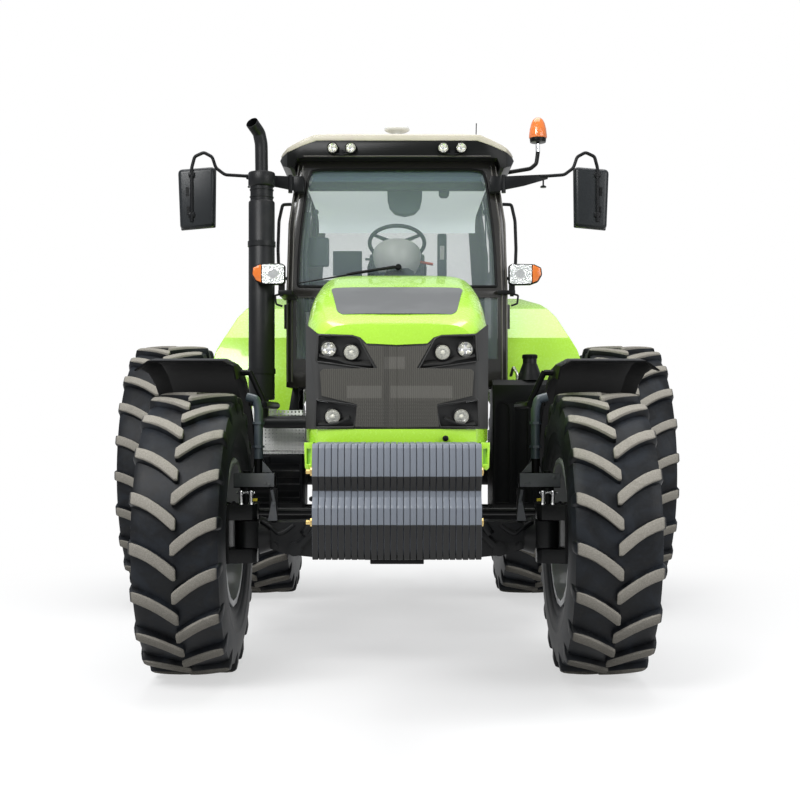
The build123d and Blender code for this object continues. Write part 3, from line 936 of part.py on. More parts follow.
with BuildPart() as drawbar:
    block(-45.0, 45.0, 1500.0, 2330.0, 420.0, 460.0)
    block(-45.0, 45.0, 1500.0, 1560.0, 459.0, HOUSING_BOTTOM - SEAT)
    block(-90.0, 90.0, 1700.0, 1800.0, 400.0, HOUSING_BOTTOM - SEAT)
    disc_z(0.0, 2290.0, 16.0, 410.0, 470.0, Mode.SUBTRACT)
save(drawbar, "drawbar")

with BuildPart() as pto:
    disc_y(0.0, 700.0, 17.5, 1960.0, PLATE_REAR + SEAT)
save(pto, "pto_shaft")

with BuildPart() as top_link:
    rod(TOP_LINK_A, TOP_LINK_B, 20.0, sides=12)
    disc_x(TOP_LINK_A[1], TOP_LINK_A[2], 32.0, -18.0, 18.0, sides=16)
    disc_x(TOP_LINK_B[1], TOP_LINK_B[2], 34.0, -25.0, 25.0, sides=16)
    disc_x(TOP_LINK_A[1], TOP_LINK_A[2], 14.0 + PIN_CLEAR, -30.0, 30.0, Mode.SUBTRACT)
    disc_x(TOP_LINK_B[1], TOP_LINK_B[2], 16.0, -30.0, 30.0, Mode.SUBTRACT)
save(top_link, "top_link")
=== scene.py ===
import json
import logging
import math
import random
from dataclasses import dataclass, field
from enum import Enum
from typing import Callable, Iterable, Sequence

import bpy
from mathutils import Matrix, Vector


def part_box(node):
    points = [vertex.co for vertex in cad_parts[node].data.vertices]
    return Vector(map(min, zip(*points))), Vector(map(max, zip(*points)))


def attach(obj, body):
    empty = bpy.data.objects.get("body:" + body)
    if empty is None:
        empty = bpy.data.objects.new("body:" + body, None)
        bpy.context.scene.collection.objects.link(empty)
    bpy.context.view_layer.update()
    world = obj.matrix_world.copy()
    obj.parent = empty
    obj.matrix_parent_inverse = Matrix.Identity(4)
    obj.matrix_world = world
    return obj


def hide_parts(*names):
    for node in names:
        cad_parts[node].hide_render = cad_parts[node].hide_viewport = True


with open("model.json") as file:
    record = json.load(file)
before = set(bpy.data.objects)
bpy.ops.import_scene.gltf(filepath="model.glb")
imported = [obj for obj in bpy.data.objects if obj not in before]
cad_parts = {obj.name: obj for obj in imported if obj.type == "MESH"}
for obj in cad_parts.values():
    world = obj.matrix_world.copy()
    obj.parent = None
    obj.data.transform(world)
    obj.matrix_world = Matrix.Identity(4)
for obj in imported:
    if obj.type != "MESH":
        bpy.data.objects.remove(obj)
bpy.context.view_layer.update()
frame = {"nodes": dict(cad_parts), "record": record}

LOG = logging.getLogger("tractor")
Point = tuple[float, float, float]
Pair = tuple[float, float]
Colour = tuple[float, float, float]
Piece = bpy.types.Object
MM = 0.001
SEED = 7
CLEAN_GAP = 0.05 * MM
FLAT = math.radians(1)


class Side(Enum):
    """The two sides of the machine, by the sign of x."""

    LEFT = 1
    RIGHT = -1

    @property
    def word(self) -> str:
        """Name of the side as the nodes spell it."""
        return self.name.lower()


class Turn(Enum):
    """Axis that a turned piece is spun about."""

    X = (1, 0, 0)
    Y = (0, 1, 0)
    Z = (0, 0, 1)


# ------------------------------------------------------------------ modelling bench
class Bench:
    """Modelling with Blender's own operators; every size is in millimetres."""

    @staticmethod
    def free() -> None:
        """Leave edit mode and deselect everything."""
        if bpy.context.object and bpy.context.object.mode != "OBJECT":
            bpy.ops.object.mode_set(mode="OBJECT")
        bpy.ops.object.select_all(action="DESELECT")

    @staticmethod
    def pick(*pieces: Piece) -> None:
        """Select these pieces alone, the first one active."""
        Bench.free()
        for piece in pieces:
            piece.select_set(True)
        bpy.context.view_layer.objects.active = pieces[0]

    @staticmethod
    def edit(piece: Piece) -> None:
        """Open a piece in edit mode with all of it selected."""
        Bench.pick(piece)
        bpy.ops.object.mode_set(mode="EDIT")
        bpy.ops.mesh.select_all(action="SELECT")

    @staticmethod
    def done() -> None:
        """Close edit mode."""
        bpy.ops.object.mode_set(mode="OBJECT")

    @staticmethod
    def tidy(piece: Piece, gap: float = 0.02) -> Piece:
        """Merge doubled points and turn the faces outwards.

        Args:
            piece: mesh piece to tidy.
            gap: distance below which points merge.
        Returns:
            The same piece.
        """
        Bench.edit(piece)
        bpy.ops.mesh.remove_doubles(threshold=gap * MM)
        bpy.ops.mesh.normals_make_consistent(inside=False)
        Bench.done()
        return piece

    @staticmethod
    def plate(points: Sequence[Point], push: Point) -> Piece:
        """Flat outline extruded into a prism.

        Args:
            points: corners of the outline in order.
            push: offset from the outline to the far face.
        Returns:
            The closed prism.
        """
        Bench.free()
        bpy.ops.mesh.primitive_circle_add(vertices=len(points), fill_type="NGON", location=(0, 0, 0))
        piece = bpy.context.object
        for vertex, point in zip(piece.data.vertices, points):
            vertex.co = Vector(point) * MM
        Bench.edit(piece)
        bpy.ops.mesh.extrude_region_move(TRANSFORM_OT_translate={"value": tuple(Vector(push) * MM)})
        bpy.ops.mesh.select_all(action="SELECT")
        bpy.ops.mesh.normals_make_consistent(inside=False)
        Bench.done()
        return piece

    @staticmethod
    def panel(outline: Sequence[Pair], y: float, depth: float) -> Piece:
        """Outline of x and z, standing at a y and extruded along y."""
        return Bench.plate([(x, y, z) for x, z in outline], (0, depth, 0))

    @staticmethod
    def block(low: Point, high: Point) -> Piece:
        """Rectangular bar between two corners, given in any order."""
        (x0, x1), (y0, y1), (z0, z1) = map(sorted, zip(low, high))
        return Bench.plate([(x0, y0, z0), (x1, y0, z0), (x1, y1, z0), (x0, y1, z0)], (0, 0, z1 - z0))

    @staticmethod
    def spun(section: Sequence[Pair], centre: Point, turn: Turn, steps: int = 48,
            closed: bool = False) -> Piece:
        """Section turned a full circle about an axis.

        Args:
            section: pairs of place along the axis and radius.
            centre: point on the axis where the place is zero.
            turn: axis of the turning.
            steps: number of segments round the circle.
            closed: whether the last point joins the first.
        Returns:
            The turned piece.
        """
        Bench.free()
        bpy.ops.mesh.primitive_circle_add(vertices=len(section), fill_type="NOTHING", location=(0, 0, 0))
        piece = bpy.context.object
        along = Vector(turn.value)
        across = Vector((0, 0, 1)) if turn is not Turn.Z else Vector((1, 0, 0))
        middle = Vector(centre)
        for vertex, (place, radius) in zip(piece.data.vertices, section):
            vertex.co = (middle + along * place + across * radius) * MM
        if not closed:
            last = len(section) - 1
            for edge in piece.data.edges:
                edge.select = set(edge.vertices) == {0, last}
            for vertex in piece.data.vertices:
                vertex.select = False
            bpy.ops.object.mode_set(mode="EDIT")
            bpy.ops.mesh.select_mode(type="EDGE")
            bpy.ops.mesh.delete(type="EDGE")
            bpy.ops.mesh.select_mode(type="VERT")
            Bench.done()
        Bench.edit(piece)
        bpy.ops.mesh.spin(steps=steps, angle=2 * math.pi, center=tuple(middle * MM), axis=turn.value)
        Bench.done()
        return Bench.tidy(piece)

    @staticmethod
    def sheet(rows: Sequence[Sequence[Point]], closed: bool = False) -> Piece:
        """Grid laid through rows of points.

        Args:
            rows: rows of equally many points.
            closed: whether the sheet is rolled into a tube with filled ends.
        Returns:
            The sheet or the closed tube.
        """
        Bench.free()
        lines = [list(row) + [row[0]] if closed else list(row) for row in rows]
        bpy.ops.mesh.primitive_grid_add(x_subdivisions=len(lines[0]) - 1, y_subdivisions=len(lines) - 1,
            location=(0, 0, 0))
        piece = bpy.context.object
        flat = [point for line in lines for point in line]
        for vertex, point in zip(piece.data.vertices, flat):
            vertex.co = Vector(point) * MM
        if closed:
            Bench.edit(piece)
            bpy.ops.mesh.remove_doubles(threshold=0.02 * MM)
            bpy.ops.mesh.fill_holes(sides=0)
            bpy.ops.mesh.normals_make_consistent(inside=False)
            Bench.done()
        return piece

    @staticmethod
    def pipe(points: Sequence[Point], radius: float, bend: float = 0, sides: int = 3) -> Piece:
        """Round bar along points, with rounded corners where a bend is given.

        Args:
            points: corners of the bar's middle line.
            radius: radius of the bar.
            bend: distance from each corner at which the rounding starts.
            sides: bevel resolution of the round section.
        Returns:
            The bar as a mesh with closed ends.
        """
        route = [Vector(points[0])]
        for before, corner, after in zip(points, points[1:], points[2:]):
            here = Vector(corner)
            back, ahead = Vector(before) - here, Vector(after) - here
            route.append(here + back.normalized() * min(bend, back.length * 0.45))
            route.append(here)
            route.append(here + ahead.normalized() * min(bend, ahead.length * 0.45))
        route.append(Vector(points[-1]))
        Bench.free()
        bpy.ops.curve.primitive_nurbs_path_add(location=(0, 0, 0))
        curve = bpy.context.object.data
        curve.splines.clear()
        spline = curve.splines.new("NURBS")
        spline.points.add(len(route) - 1)
        for knot, place in zip(spline.points, route):
            knot.co = (*(place * MM), 1)
        spline.order_u = 3 if bend else 2
        spline.use_endpoint_u = True
        curve.dimensions = "3D"
        curve.resolution_u = 5
        curve.bevel_depth = radius * MM
        curve.bevel_resolution = sides
        curve.use_fill_caps = True
        bpy.ops.object.convert(target="MESH")
        return Bench.tidy(bpy.context.object)

    @staticmethod
    def modify(piece: Piece, kind: str, **settings: object) -> Piece:
        """Apply one modifier of a kind with the given settings."""
        Bench.pick(piece)
        bpy.ops.object.modifier_add(type=kind)
        modifier = piece.modifiers[-1]
        for key, value in settings.items():
            setattr(modifier, key, value)
        bpy.ops.object.modifier_apply(modifier=modifier.name)
        return piece

    @staticmethod
    def outward(piece: Piece) -> None:
        """Turn all the faces of a closed piece outwards."""
        Bench.edit(piece)
        bpy.ops.mesh.normals_make_consistent(inside=False)
        Bench.done()

    @staticmethod
    def bevel(piece: Piece, width: float, segments: int = 2, angle: float = 30) -> Piece:
        """Round the edges sharper than an angle."""
        return Bench.modify(piece, "BEVEL", width=width * MM, segments=segments, limit_method="ANGLE",
            angle_limit=math.radians(angle), use_clamp_overlap=True, harden_normals=False)

    @staticmethod
    def cut(piece: Piece, tool: Piece, kind: str = "DIFFERENCE") -> Piece:
        """Boolean of a piece with a tool body, which is used up.

        Args:
            piece: the piece that stays.
            tool: the cutting body.
            kind: DIFFERENCE, INTERSECT or UNION.
        Returns:
            The piece.
        """
        for item in (piece, tool):
            Bench.outward(item)
        Bench.modify(piece, "BOOLEAN", object=tool, operation=kind, solver="EXACT")
        bpy.data.objects.remove(tool)
        return piece

    @staticmethod
    def thicken(piece: Piece, thickness: float, offset: float = -1) -> Piece:
        """Give a sheet a wall of a thickness."""
        return Bench.modify(piece, "SOLIDIFY", thickness=thickness * MM, offset=offset)

    @staticmethod
    def subdivide(piece: Piece, levels: int = 1) -> Piece:
        """Smooth a mesh by subdivision."""
        return Bench.modify(piece, "SUBSURF", levels=levels, render_levels=levels)

    @staticmethod
    def smooth(piece: Piece, angle: float = 32) -> Piece:
        """Shade smoothly across edges flatter than an angle."""
        Bench.pick(piece)
        bpy.ops.object.shade_smooth_by_angle(angle=math.radians(angle))
        return piece

    @staticmethod
    def copies(piece: Piece, moves: Iterable[Matrix]) -> Piece:
        """Copies of a piece joined into one mesh; the first piece itself is used up.

        Args:
            piece: the piece that repeats.
            moves: transform of each copy, in millimetres.
        Returns:
            One piece with every copy.
        """
        made = []
        for move in moves:
            twin = piece.copy()
            twin.data = piece.data.copy()
            scaled = move.copy()
            scaled.translation = scaled.translation * MM
            twin.data.transform(scaled)
            if scaled.determinant() < 0:
                twin.data.flip_normals()
            bpy.context.scene.collection.objects.link(twin)
            made.append(twin)
        bpy.data.objects.remove(piece)
        return Bench.join(made)

    @staticmethod
    def whole(piece: Piece | list[Piece]) -> Piece:
        """One object from a piece or from a list of pieces."""
        return Bench.join(piece) if isinstance(piece, list) else piece

    @staticmethod
    def both(piece: Piece | list[Piece]) -> Piece:
        """The piece and its mirror image across the centre plane, as one."""
        return Bench.copies(Bench.whole(piece), (Matrix.Identity(4), Matrix.Scale(-1, 4, (1, 0, 0))))

    @staticmethod
    def join(pieces: Sequence[Piece]) -> Piece:
        """Several pieces as one object."""
        if len(pieces) > 1:
            Bench.pick(*pieces)
            bpy.ops.object.join()
        return pieces[0]

    @staticmethod
    def cast(node: str, width: float = 3, segments: int = 2, angle: float = 28) -> Piece:
        """Copy of a CAD node with clean faces and softened edges.

        Args:
            node: name of the CAD node.
            width: width of the edge rounding.
            segments: segments of the rounding.
            angle: edges sharper than this are rounded.
        Returns:
            The dressed copy, not yet finished.
        """
        source = frame["nodes"][node]
        piece = bpy.data.objects.new(node + "_shell", source.data.copy())
        bpy.context.scene.collection.objects.link(piece)
        piece.hide_render = piece.hide_viewport = False
        Bench.edit(piece)
        bpy.ops.mesh.remove_doubles(threshold=CLEAN_GAP)
        bpy.ops.mesh.dissolve_limited(angle_limit=FLAT)
        bpy.ops.mesh.quads_convert_to_tris(quad_method="BEAUTY", ngon_method="BEAUTY")
        bpy.ops.mesh.tris_convert_to_quads(face_threshold=FLAT, shape_threshold=math.radians(180))
        bpy.ops.mesh.dissolve_limited(angle_limit=FLAT)
        Bench.done()
        if width:
            Bench.bevel(piece, width, segments, angle)
        return piece


# ------------------------------------------------------------------ shader book
class Wire:
    """A value in a material's nodes that can be used in plain arithmetic."""

    def __init__(self, book: "Book", socket: bpy.types.NodeSocket) -> None:
        """Hold one output socket of a book's nodes."""
        self.book = book
        self.socket = socket

    def _math(self, kind: str, first: object, second: object = 0) -> "Wire":
        """One Math node on two values."""
        node = self.book.node("ShaderNodeMath", {"operation": kind}, {0: first, 1: second})
        return Wire(self.book, node.outputs[0])

    def __add__(self, other: object) -> "Wire":
        """Sum."""
        return self._math("ADD", self, other)

    __radd__ = __add__

    def __sub__(self, other: object) -> "Wire":
        """Difference."""
        return self._math("SUBTRACT", self, other)

    def __rsub__(self, other: object) -> "Wire":
        """Difference from a number."""
        return self._math("SUBTRACT", other, self)

    def __mul__(self, other: object) -> "Wire":
        """Product."""
        return self._math("MULTIPLY", self, other)

    __rmul__ = __mul__

    def __truediv__(self, other: object) -> "Wire":
        """Quotient."""
        return self._math("DIVIDE", self, other)

    def __pow__(self, other: object) -> "Wire":
        """Power."""
        return self._math("POWER", self, other)

    def __mod__(self, other: object) -> "Wire":
        """Remainder that stays positive."""
        return self._math("FLOORED_MODULO", self, other)

    def floor(self) -> "Wire":
        """Whole part."""
        return self._math("FLOOR", self)

    def size(self) -> "Wire":
        """Value without its sign."""
        return self._math("ABSOLUTE", self)

    def most(self, other: object) -> "Wire":
        """The larger of two values."""
        return self._math("MAXIMUM", self, other)

    def step(self, low: float, high: float) -> "Wire":
        """Smooth rise from 0 at one value to 1 at another."""
        node = self.book.node("ShaderNodeMapRange", {"interpolation_type": "SMOOTHSTEP", "clamp": True},
            {"Value": self, "From Min": low, "From Max": high, "To Min": 0, "To Max": 1})
        return Wire(self.book, node.outputs[0])


class Book:
    """The nodes of one material."""

    def __init__(self, name: str) -> None:
        """Start an empty material."""
        self.material = bpy.data.materials.new(name)
        self.material.use_nodes = True
        self.nodes = self.material.node_tree.nodes
        self.links = self.material.node_tree.links
        self.nodes.clear()

    def node(self, kind: str, settings: dict | None = None, inputs: dict | None = None) -> bpy.types.Node:
        """Add one node.

        Args:
            kind: Blender's type name.
            settings: attributes set first.
            inputs: values or links by socket name or number.
        Returns:
            The node.
        """
        made = self.nodes.new(kind)
        for key, value in (settings or {}).items():
            setattr(made, key, value)
        for key, value in (inputs or {}).items():
            if isinstance(value, Wire):
                value = value.socket
            if isinstance(value, bpy.types.NodeSocket):
                self.links.new(value, made.inputs[key])
            else:
                made.inputs[key].default_value = value
        return made

    def place(self) -> bpy.types.NodeSocket:
        """Object coordinates."""
        return self.node("ShaderNodeTexCoord").outputs["Object"]

    def axes(self, centre: Point = (0, 0, 0)) -> tuple[Wire, Wire, Wire]:
        """Object coordinates in metres from a centre given in millimetres."""
        parts = self.node("ShaderNodeSeparateXYZ", None, {0: self.place()}).outputs
        return tuple(Wire(self, part) - value * MM for part, value in zip(parts, centre))

    def facing(self) -> Wire:
        """How far the surface faces up, from -1 to 1."""
        normal = self.node("ShaderNodeTexCoord").outputs["Normal"]
        return Wire(self, self.node("ShaderNodeSeparateXYZ", None, {0: normal}).outputs[2])

    def noise(self, scale: float, detail: float = 3, stretch: Point = (1, 1, 1), warp: float = 0) -> Wire:
        """Cloudy pattern, 0 to 1, with so many features to the metre."""
        vector = self.node("ShaderNodeMapping", None, {"Vector": self.place(), "Scale": stretch}).outputs[0]
        made = self.node("ShaderNodeTexNoise", None, {"Vector": vector, "Scale": scale, "Detail": detail,
            "Roughness": 0.6, "Distortion": warp})
        return Wire(self, made.outputs[0])

    def cells(self, scale: float) -> Wire:
        """Distance to scattered points, so many to the metre."""
        made = self.node("ShaderNodeTexVoronoi", None, {"Vector": self.place(), "Scale": scale})
        return Wire(self, made.outputs[0])

    def mix(self, share: object, first: object, second: object) -> bpy.types.NodeSocket:
        """Colour between two colours."""
        pair = [(*tone, 1) if isinstance(tone, tuple) else tone for tone in (first, second)]
        made = self.node("ShaderNodeMix", {"data_type": "RGBA", "clamp_factor": True},
            {0: share, 6: pair[0], 7: pair[1]})
        return made.outputs[2]

    def bump(self, height: Wire, depth: float, before: object = None) -> bpy.types.NodeSocket:
        """Normals raised by a height field, depth in millimetres."""
        inputs = {"Height": height, "Distance": depth * MM, "Strength": 1}
        if before is not None:
            inputs["Normal"] = before
        return self.node("ShaderNodeBump", None, inputs).outputs[0]

    def surface(self, **sockets: object) -> bpy.types.Material:
        """Close the material with a Principled surface.

        Args:
            sockets: values by socket name, with underscores for spaces.
        Returns:
            The material.
        """
        inputs = {}
        for key, value in sockets.items():
            name = key.replace("_", " ")
            inputs[name] = (*value, 1) if isinstance(value, tuple) and len(value) == 3 else value
        shader = self.node("ShaderNodeBsdfPrincipled", None, inputs)
        self.node("ShaderNodeOutputMaterial", None, {0: shader.outputs[0]})
        return self.material


# ------------------------------------------------------------------ finishes
DUST = (0.30, 0.27, 0.22)


@dataclass(frozen=True)
class Finish:
    """One finish; each kind paints itself into a book of nodes."""

    name: str

    def make(self) -> bpy.types.Material:
        """Build the material."""
        return self.paint(Book(self.name))

    def paint(self, book: Book) -> bpy.types.Material:
        """Lay the finish into its nodes."""
        raise NotImplementedError


@dataclass(frozen=True)
class Sprayed(Finish):
    """Gloss paint on sheet metal or smooth mouldings."""

    colour: Colour
    roughness: float = 0.28
    coat: float = 0.5
    dust: float = 0.10
    shift: float = 0.06
    shine: float = 0.5

    def paint(self, book: Book) -> bpy.types.Material:
        """Lay the finish into its nodes."""
        cloud = book.noise(2.2, 4)
        fine = book.noise(60, 2)
        deep = tuple(part * (1 - self.shift * 2) for part in self.colour)
        tone = book.mix(cloud.step(0.35, 0.68), self.colour, deep)
        high = book.axes()[2]
        settled = book.noise(9, 5).step(0.46, 0.72) * (book.facing().step(-0.2, 0.9) * 0.6 + 0.4)
        settled = settled * (1.4 - high.step(0.3, 2.2)) * self.dust
        tone = book.mix(settled, tone, DUST)
        rough = fine * 0.06 + settled * 0.5 + (self.roughness - 0.03)
        normal = book.bump(fine, 0.004)
        return book.surface(Base_Color=tone, Roughness=rough, Coat_Weight=self.coat, Coat_Roughness=0.06,
            Specular_IOR_Level=self.shine, Normal=normal)


@dataclass(frozen=True)
class CastIron(Finish):
    """Painted casting: pitted skin, worn and dusty."""

    colour: Colour
    roughness: float = 0.5
    pits: float = 0.5
    dust: float = 0.35
    wear: Colour = (0.22, 0.22, 0.22)
    shine: float = 0.4

    def paint(self, book: Book) -> bpy.types.Material:
        """Lay the finish into its nodes."""
        cloud = book.noise(5, 5, warp=0.6)
        grain = book.noise(160, 3)
        tone = book.mix(cloud.step(0.40, 0.75) * 0.5, self.colour, self.wear)
        settled = book.noise(14, 4).step(0.42, 0.75) * book.facing().step(-0.3, 0.8) * self.dust
        tone = book.mix(settled, tone, DUST)
        rough = grain * 0.2 + settled * 0.3 + (self.roughness - 0.1)
        normal = book.bump(grain + book.cells(90) * 0.4, self.pits)
        return book.surface(Base_Color=tone, Roughness=rough, Normal=normal, Specular_IOR_Level=self.shine)


@dataclass(frozen=True)
class Weight(Finish):
    """Grey paint of the weights, with painted shade that makes the faces turning downwards near black."""

    colour: Colour = (0.165, 0.182, 0.212)
    worn: Colour = (0.205, 0.215, 0.235)
    # near-black colour of the painted shade on faces that turn downwards
    painted_shade: Colour = (0.016, 0.016, 0.016)

    def paint(self, book: Book) -> bpy.types.Material:
        """Lay the finish into its nodes."""
        cloud = book.noise(5, 5, warp=0.6)
        grain = book.noise(160, 3)
        tone = book.mix(cloud.step(0.45, 0.75) * 0.4, self.colour, self.worn)
        # painted shade: faces that turn downwards take the near-black colour in place of the grey paint
        turned = book.facing().step(-0.16, -0.03)
        tone = book.mix(turned, self.painted_shade, tone)
        return book.surface(Base_Color=tone, Roughness=grain * 0.2 + 0.28, Normal=book.bump(grain, 0.25),
            Specular_IOR_Level=0.30)


@dataclass(frozen=True)
class GlowingHeadliner(Finish):
    """Pale headliner and trim with a painted glow: it gives off light though it is no lamp."""

    colour: Colour = (0.74, 0.80, 0.80)
    # strength of the painted glow
    glow: float = 0.62

    def paint(self, book: Book) -> bpy.types.Material:
        """Lay the finish into its nodes."""
        felt = book.noise(300, 2)
        cloud = book.noise(2, 3)
        tone = book.mix(cloud.step(0.35, 0.75) * 0.3, self.colour, (0.66, 0.73, 0.74))
        # painted glow: emission in the headliner's own colour, though it is no lamp
        return book.surface(Base_Color=tone, Roughness=felt * 0.2 + 0.7, Emission_Color=tone,
            Emission_Strength=self.glow, Normal=book.bump(felt, 0.2), Specular_IOR_Level=0.1)


@dataclass(frozen=True)
class Gauze(Finish):
    """Fine ribbed mesh, with the coolers showing faintly behind it."""

    colour: Colour = (0.075, 0.072, 0.062)

    def paint(self, book: Book) -> bpy.types.Material:
        """Lay the finish into its nodes."""
        x, _, z = book.axes()

        def box(x0: float, x1: float, z0: float, z1: float) -> Wire:
            """Share of a rectangle, in metres."""
            return (x.step(x0, x0 + 0.004) * (1 - x.step(x1 - 0.004, x1)) * z.step(z0, z0 + 0.004)
                * (1 - z.step(z1 - 0.004, z1)))

        rib = ((x / 0.0088) % 1 - 0.5).size() * 2
        cross = ((z / 0.0060) % 1 - 0.5).size() * 2
        low = 1 - z.step(1.366, 1.372)
        weave = rib * (1 - low) + rib.most(cross) * low
        pack = box(-0.217, -0.064, 1.381, 1.438) + box(-0.030, 0.240, 1.381, 1.438) + box(-0.057, 0.036, 1.506,
            1.562)
        bar = box(-0.060, -0.032, 1.260, 1.640)
        deep = tuple(part * 0.45 for part in self.colour)
        tone = book.mix(weave.step(0.25, 0.95) * 0.6, self.colour, deep)
        tone = book.mix(pack * 0.45, tone, (0.145, 0.140, 0.125))
        tone = book.mix(bar * 0.4, tone, (0.030, 0.029, 0.026))
        cloud = book.noise(6, 3)
        return book.surface(Base_Color=tone, Roughness=cloud * 0.2 + 0.42, Specular_IOR_Level=0.3,
            Normal=book.bump(weave, -1.2))


@dataclass(frozen=True)
class Moulded(Finish):
    """Plastic with a fine moulded grain."""

    colour: Colour
    roughness: float = 0.42
    grain: float = 0.12
    dust: float = 0.12
    shine: float = 0.4

    def paint(self, book: Book) -> bpy.types.Material:
        """Lay the finish into its nodes."""
        leather = book.cells(420)
        cloud = book.noise(3, 3)
        lighter = tuple(part * 1.5 + 0.004 for part in self.colour)
        tone = book.mix(cloud.step(0.4, 0.75) * 0.5, self.colour, lighter)
        settled = book.noise(11, 4).step(0.45, 0.78) * book.facing().step(-0.1, 0.9) * self.dust
        tone = book.mix(settled, tone, DUST)
        rough = leather * 0.1 + settled * 0.4 + (self.roughness - 0.04)
        return book.surface(Base_Color=tone, Roughness=rough, Normal=book.bump(leather, self.grain),
            Specular_IOR_Level=self.shine)


@dataclass(frozen=True)
class Bright(Finish):
    """Bare or plated metal with fine drawn scratches."""

    colour: Colour = (0.62, 0.61, 0.59)
    roughness: float = 0.26
    drawn: Point = (1, 1, 0.05)

    def paint(self, book: Book) -> bpy.types.Material:
        """Lay the finish into its nodes."""
        lines = book.noise(900, 2, self.drawn)
        stain = book.noise(18, 4).step(0.5, 0.8)
        tone = book.mix(stain * 0.5, self.colour, tuple(part * 0.45 for part in self.colour))
        rough = lines * 0.16 + stain * 0.2 + (self.roughness - 0.06)
        return book.surface(Base_Color=tone, Roughness=rough, Metallic=1, Normal=book.bump(lines, 0.03))


@dataclass(frozen=True)
class Faceted(Finish):
    """Bright lamp reflector pressed in small facets."""

    cell: float = 110

    def paint(self, book: Book) -> bpy.types.Material:
        """Lay the finish into its nodes."""
        cell = book.cells(self.cell)
        tone = book.mix(cell.step(0.1, 0.7) * 0.7, (0.86, 0.87, 0.87), (0.42, 0.44, 0.46))
        return book.surface(Base_Color=tone, Roughness=cell * 0.2 + 0.10, Metallic=0.9,
            Normal=book.bump(cell, 3))


@dataclass(frozen=True)
class TreadRubber(Finish):
    """Tyre rubber: dusty lug faces, blue-black hollows, by distance from the axle."""

    axle_y: float
    axle_z: float
    radius: float
    lug: float

    def paint(self, book: Book) -> bpy.types.Material:
        """Lay the finish into its nodes."""
        _, y, z = book.axes((0, self.axle_y, self.axle_z))
        reach = (y * y + z * z) ** 0.5
        top = reach.step((self.radius - self.lug * 0.42) * MM, (self.radius - self.lug * 0.30) * MM)
        cloud = book.noise(7, 5, warp=0.8)
        speck = book.noise(220, 3)
        rubber = book.mix(cloud.step(0.38, 0.7), (0.0045, 0.0052, 0.0065), (0.012, 0.015, 0.020))
        dirty = book.noise(24, 5).step(0.50, 0.75) * 0.35
        rubber = book.mix(dirty * 0.35, rubber, (0.055, 0.050, 0.042))
        face = book.mix(speck.step(0.35, 0.7), (0.215, 0.200, 0.172), (0.300, 0.283, 0.250))
        face = book.mix(cloud.step(0.55, 0.8) * 0.5, face, (0.12, 0.112, 0.10))
        tone = book.mix(top, rubber, face)
        rough = top * 0.32 + cloud * 0.16 + 0.42
        normal = book.bump(speck + book.cells(140) * 0.5, 0.35)
        return book.surface(Base_Color=tone, Roughness=rough, Normal=normal, Specular_IOR_Level=0.22)


@dataclass(frozen=True)
class Pane(Finish):
    """Tinted safety glass, darker towards its top band."""

    colour: Colour = (0.26, 0.33, 0.34)
    clear: float = 0.16
    band_z: float = 2735

    def paint(self, book: Book) -> bpy.types.Material:
        """Lay the finish into its nodes."""
        high = book.axes()[2]
        band = high.step(self.band_z * MM, (self.band_z + 14) * MM)
        haze = book.noise(4, 3)
        tone = book.mix(band, self.colour, (0.16, 0.23, 0.27))
        alpha = haze * 0.05 + band * 0.25 + self.clear
        return book.surface(Base_Color=tone, Roughness=haze * 0.03 + 0.02, Alpha=alpha, Coat_Weight=1,
            Coat_Roughness=0.02)


@dataclass(frozen=True)
class Lens(Finish):
    """Lamp lens with pressed ribs over a bright reflector."""

    colour: Colour
    alpha: float = 0.45
    ribs: float = 160

    def paint(self, book: Book) -> bpy.types.Material:
        """Lay the finish into its nodes."""
        x, _, z = book.axes()
        ribs = ((x * self.ribs) % 1 - 0.5).size() + ((z * self.ribs) % 1 - 0.5).size()
        fine = book.noise(40, 3)
        tone = book.mix(fine.step(0.4, 0.7) * 0.4, self.colour, tuple(part * 0.6 for part in self.colour))
        return book.surface(Base_Color=tone, Roughness=fine * 0.04 + 0.04, Alpha=self.alpha + fine * 0.08,
            Coat_Weight=0.8, Coat_Roughness=0.03, Normal=book.bump(ribs, 0.5))


@dataclass(frozen=True)
class Woven(Finish):
    """Seat cloth with a fine basket weave and a soft nap."""

    colour: Colour
    thread: float = 2.2

    def paint(self, book: Book) -> bpy.types.Material:
        """Lay the finish into its nodes."""
        x, y, z = book.axes()
        pitch = 1 / (self.thread * MM)
        across = ((x * pitch) % 1 - 0.5).size() * 2
        along = (((y + z) * pitch) % 1 - 0.5).size() * 2
        weave = across.most(along)
        fuzz = book.noise(700, 2)
        light = tuple(part * 1.9 + 0.01 for part in self.colour)
        tone = book.mix(weave * 0.6 + fuzz * 0.3, self.colour, light)
        return book.surface(Base_Color=tone, Roughness=fuzz * 0.2 + 0.75, Sheen_Weight=0.35,
            Sheen_Roughness=0.5, Normal=book.bump(weave + fuzz * 0.4, 0.5))


@dataclass(frozen=True)
class Punched(Finish):
    """Aluminium tread plate punched with round holes."""

    pitch: float = 22
    hole: float = 5.6

    def paint(self, book: Book) -> bpy.types.Material:
        """Lay the finish into its nodes."""
        x, y, z = book.axes((0, 0, 1109))
        level = book.facing().size().step(0.5, 0.6)
        across = (((x / (self.pitch * MM)) % 1) - 0.5) * self.pitch
        up = (((z / (self.pitch * MM)) % 1) - 0.5) * self.pitch
        deep = (((y / (self.pitch * MM)) % 1) - 0.5) * self.pitch
        other = up * (1 - level) + deep * level
        away = (across * across + other * other) ** 0.5
        solid = away.step(self.hole - 0.5, self.hole + 0.5)
        lines = book.noise(700, 2, (0.05, 1, 1))
        tone = book.mix(book.noise(16, 4).step(0.45, 0.8) * 0.5, (0.82, 0.82, 0.81), (0.60, 0.60, 0.59))
        return book.surface(Base_Color=tone, Roughness=lines * 0.2 + 0.30, Metallic=0.10, Alpha=solid,
            Normal=book.bump(away.step(self.hole, self.hole + 2.5), 0.6))


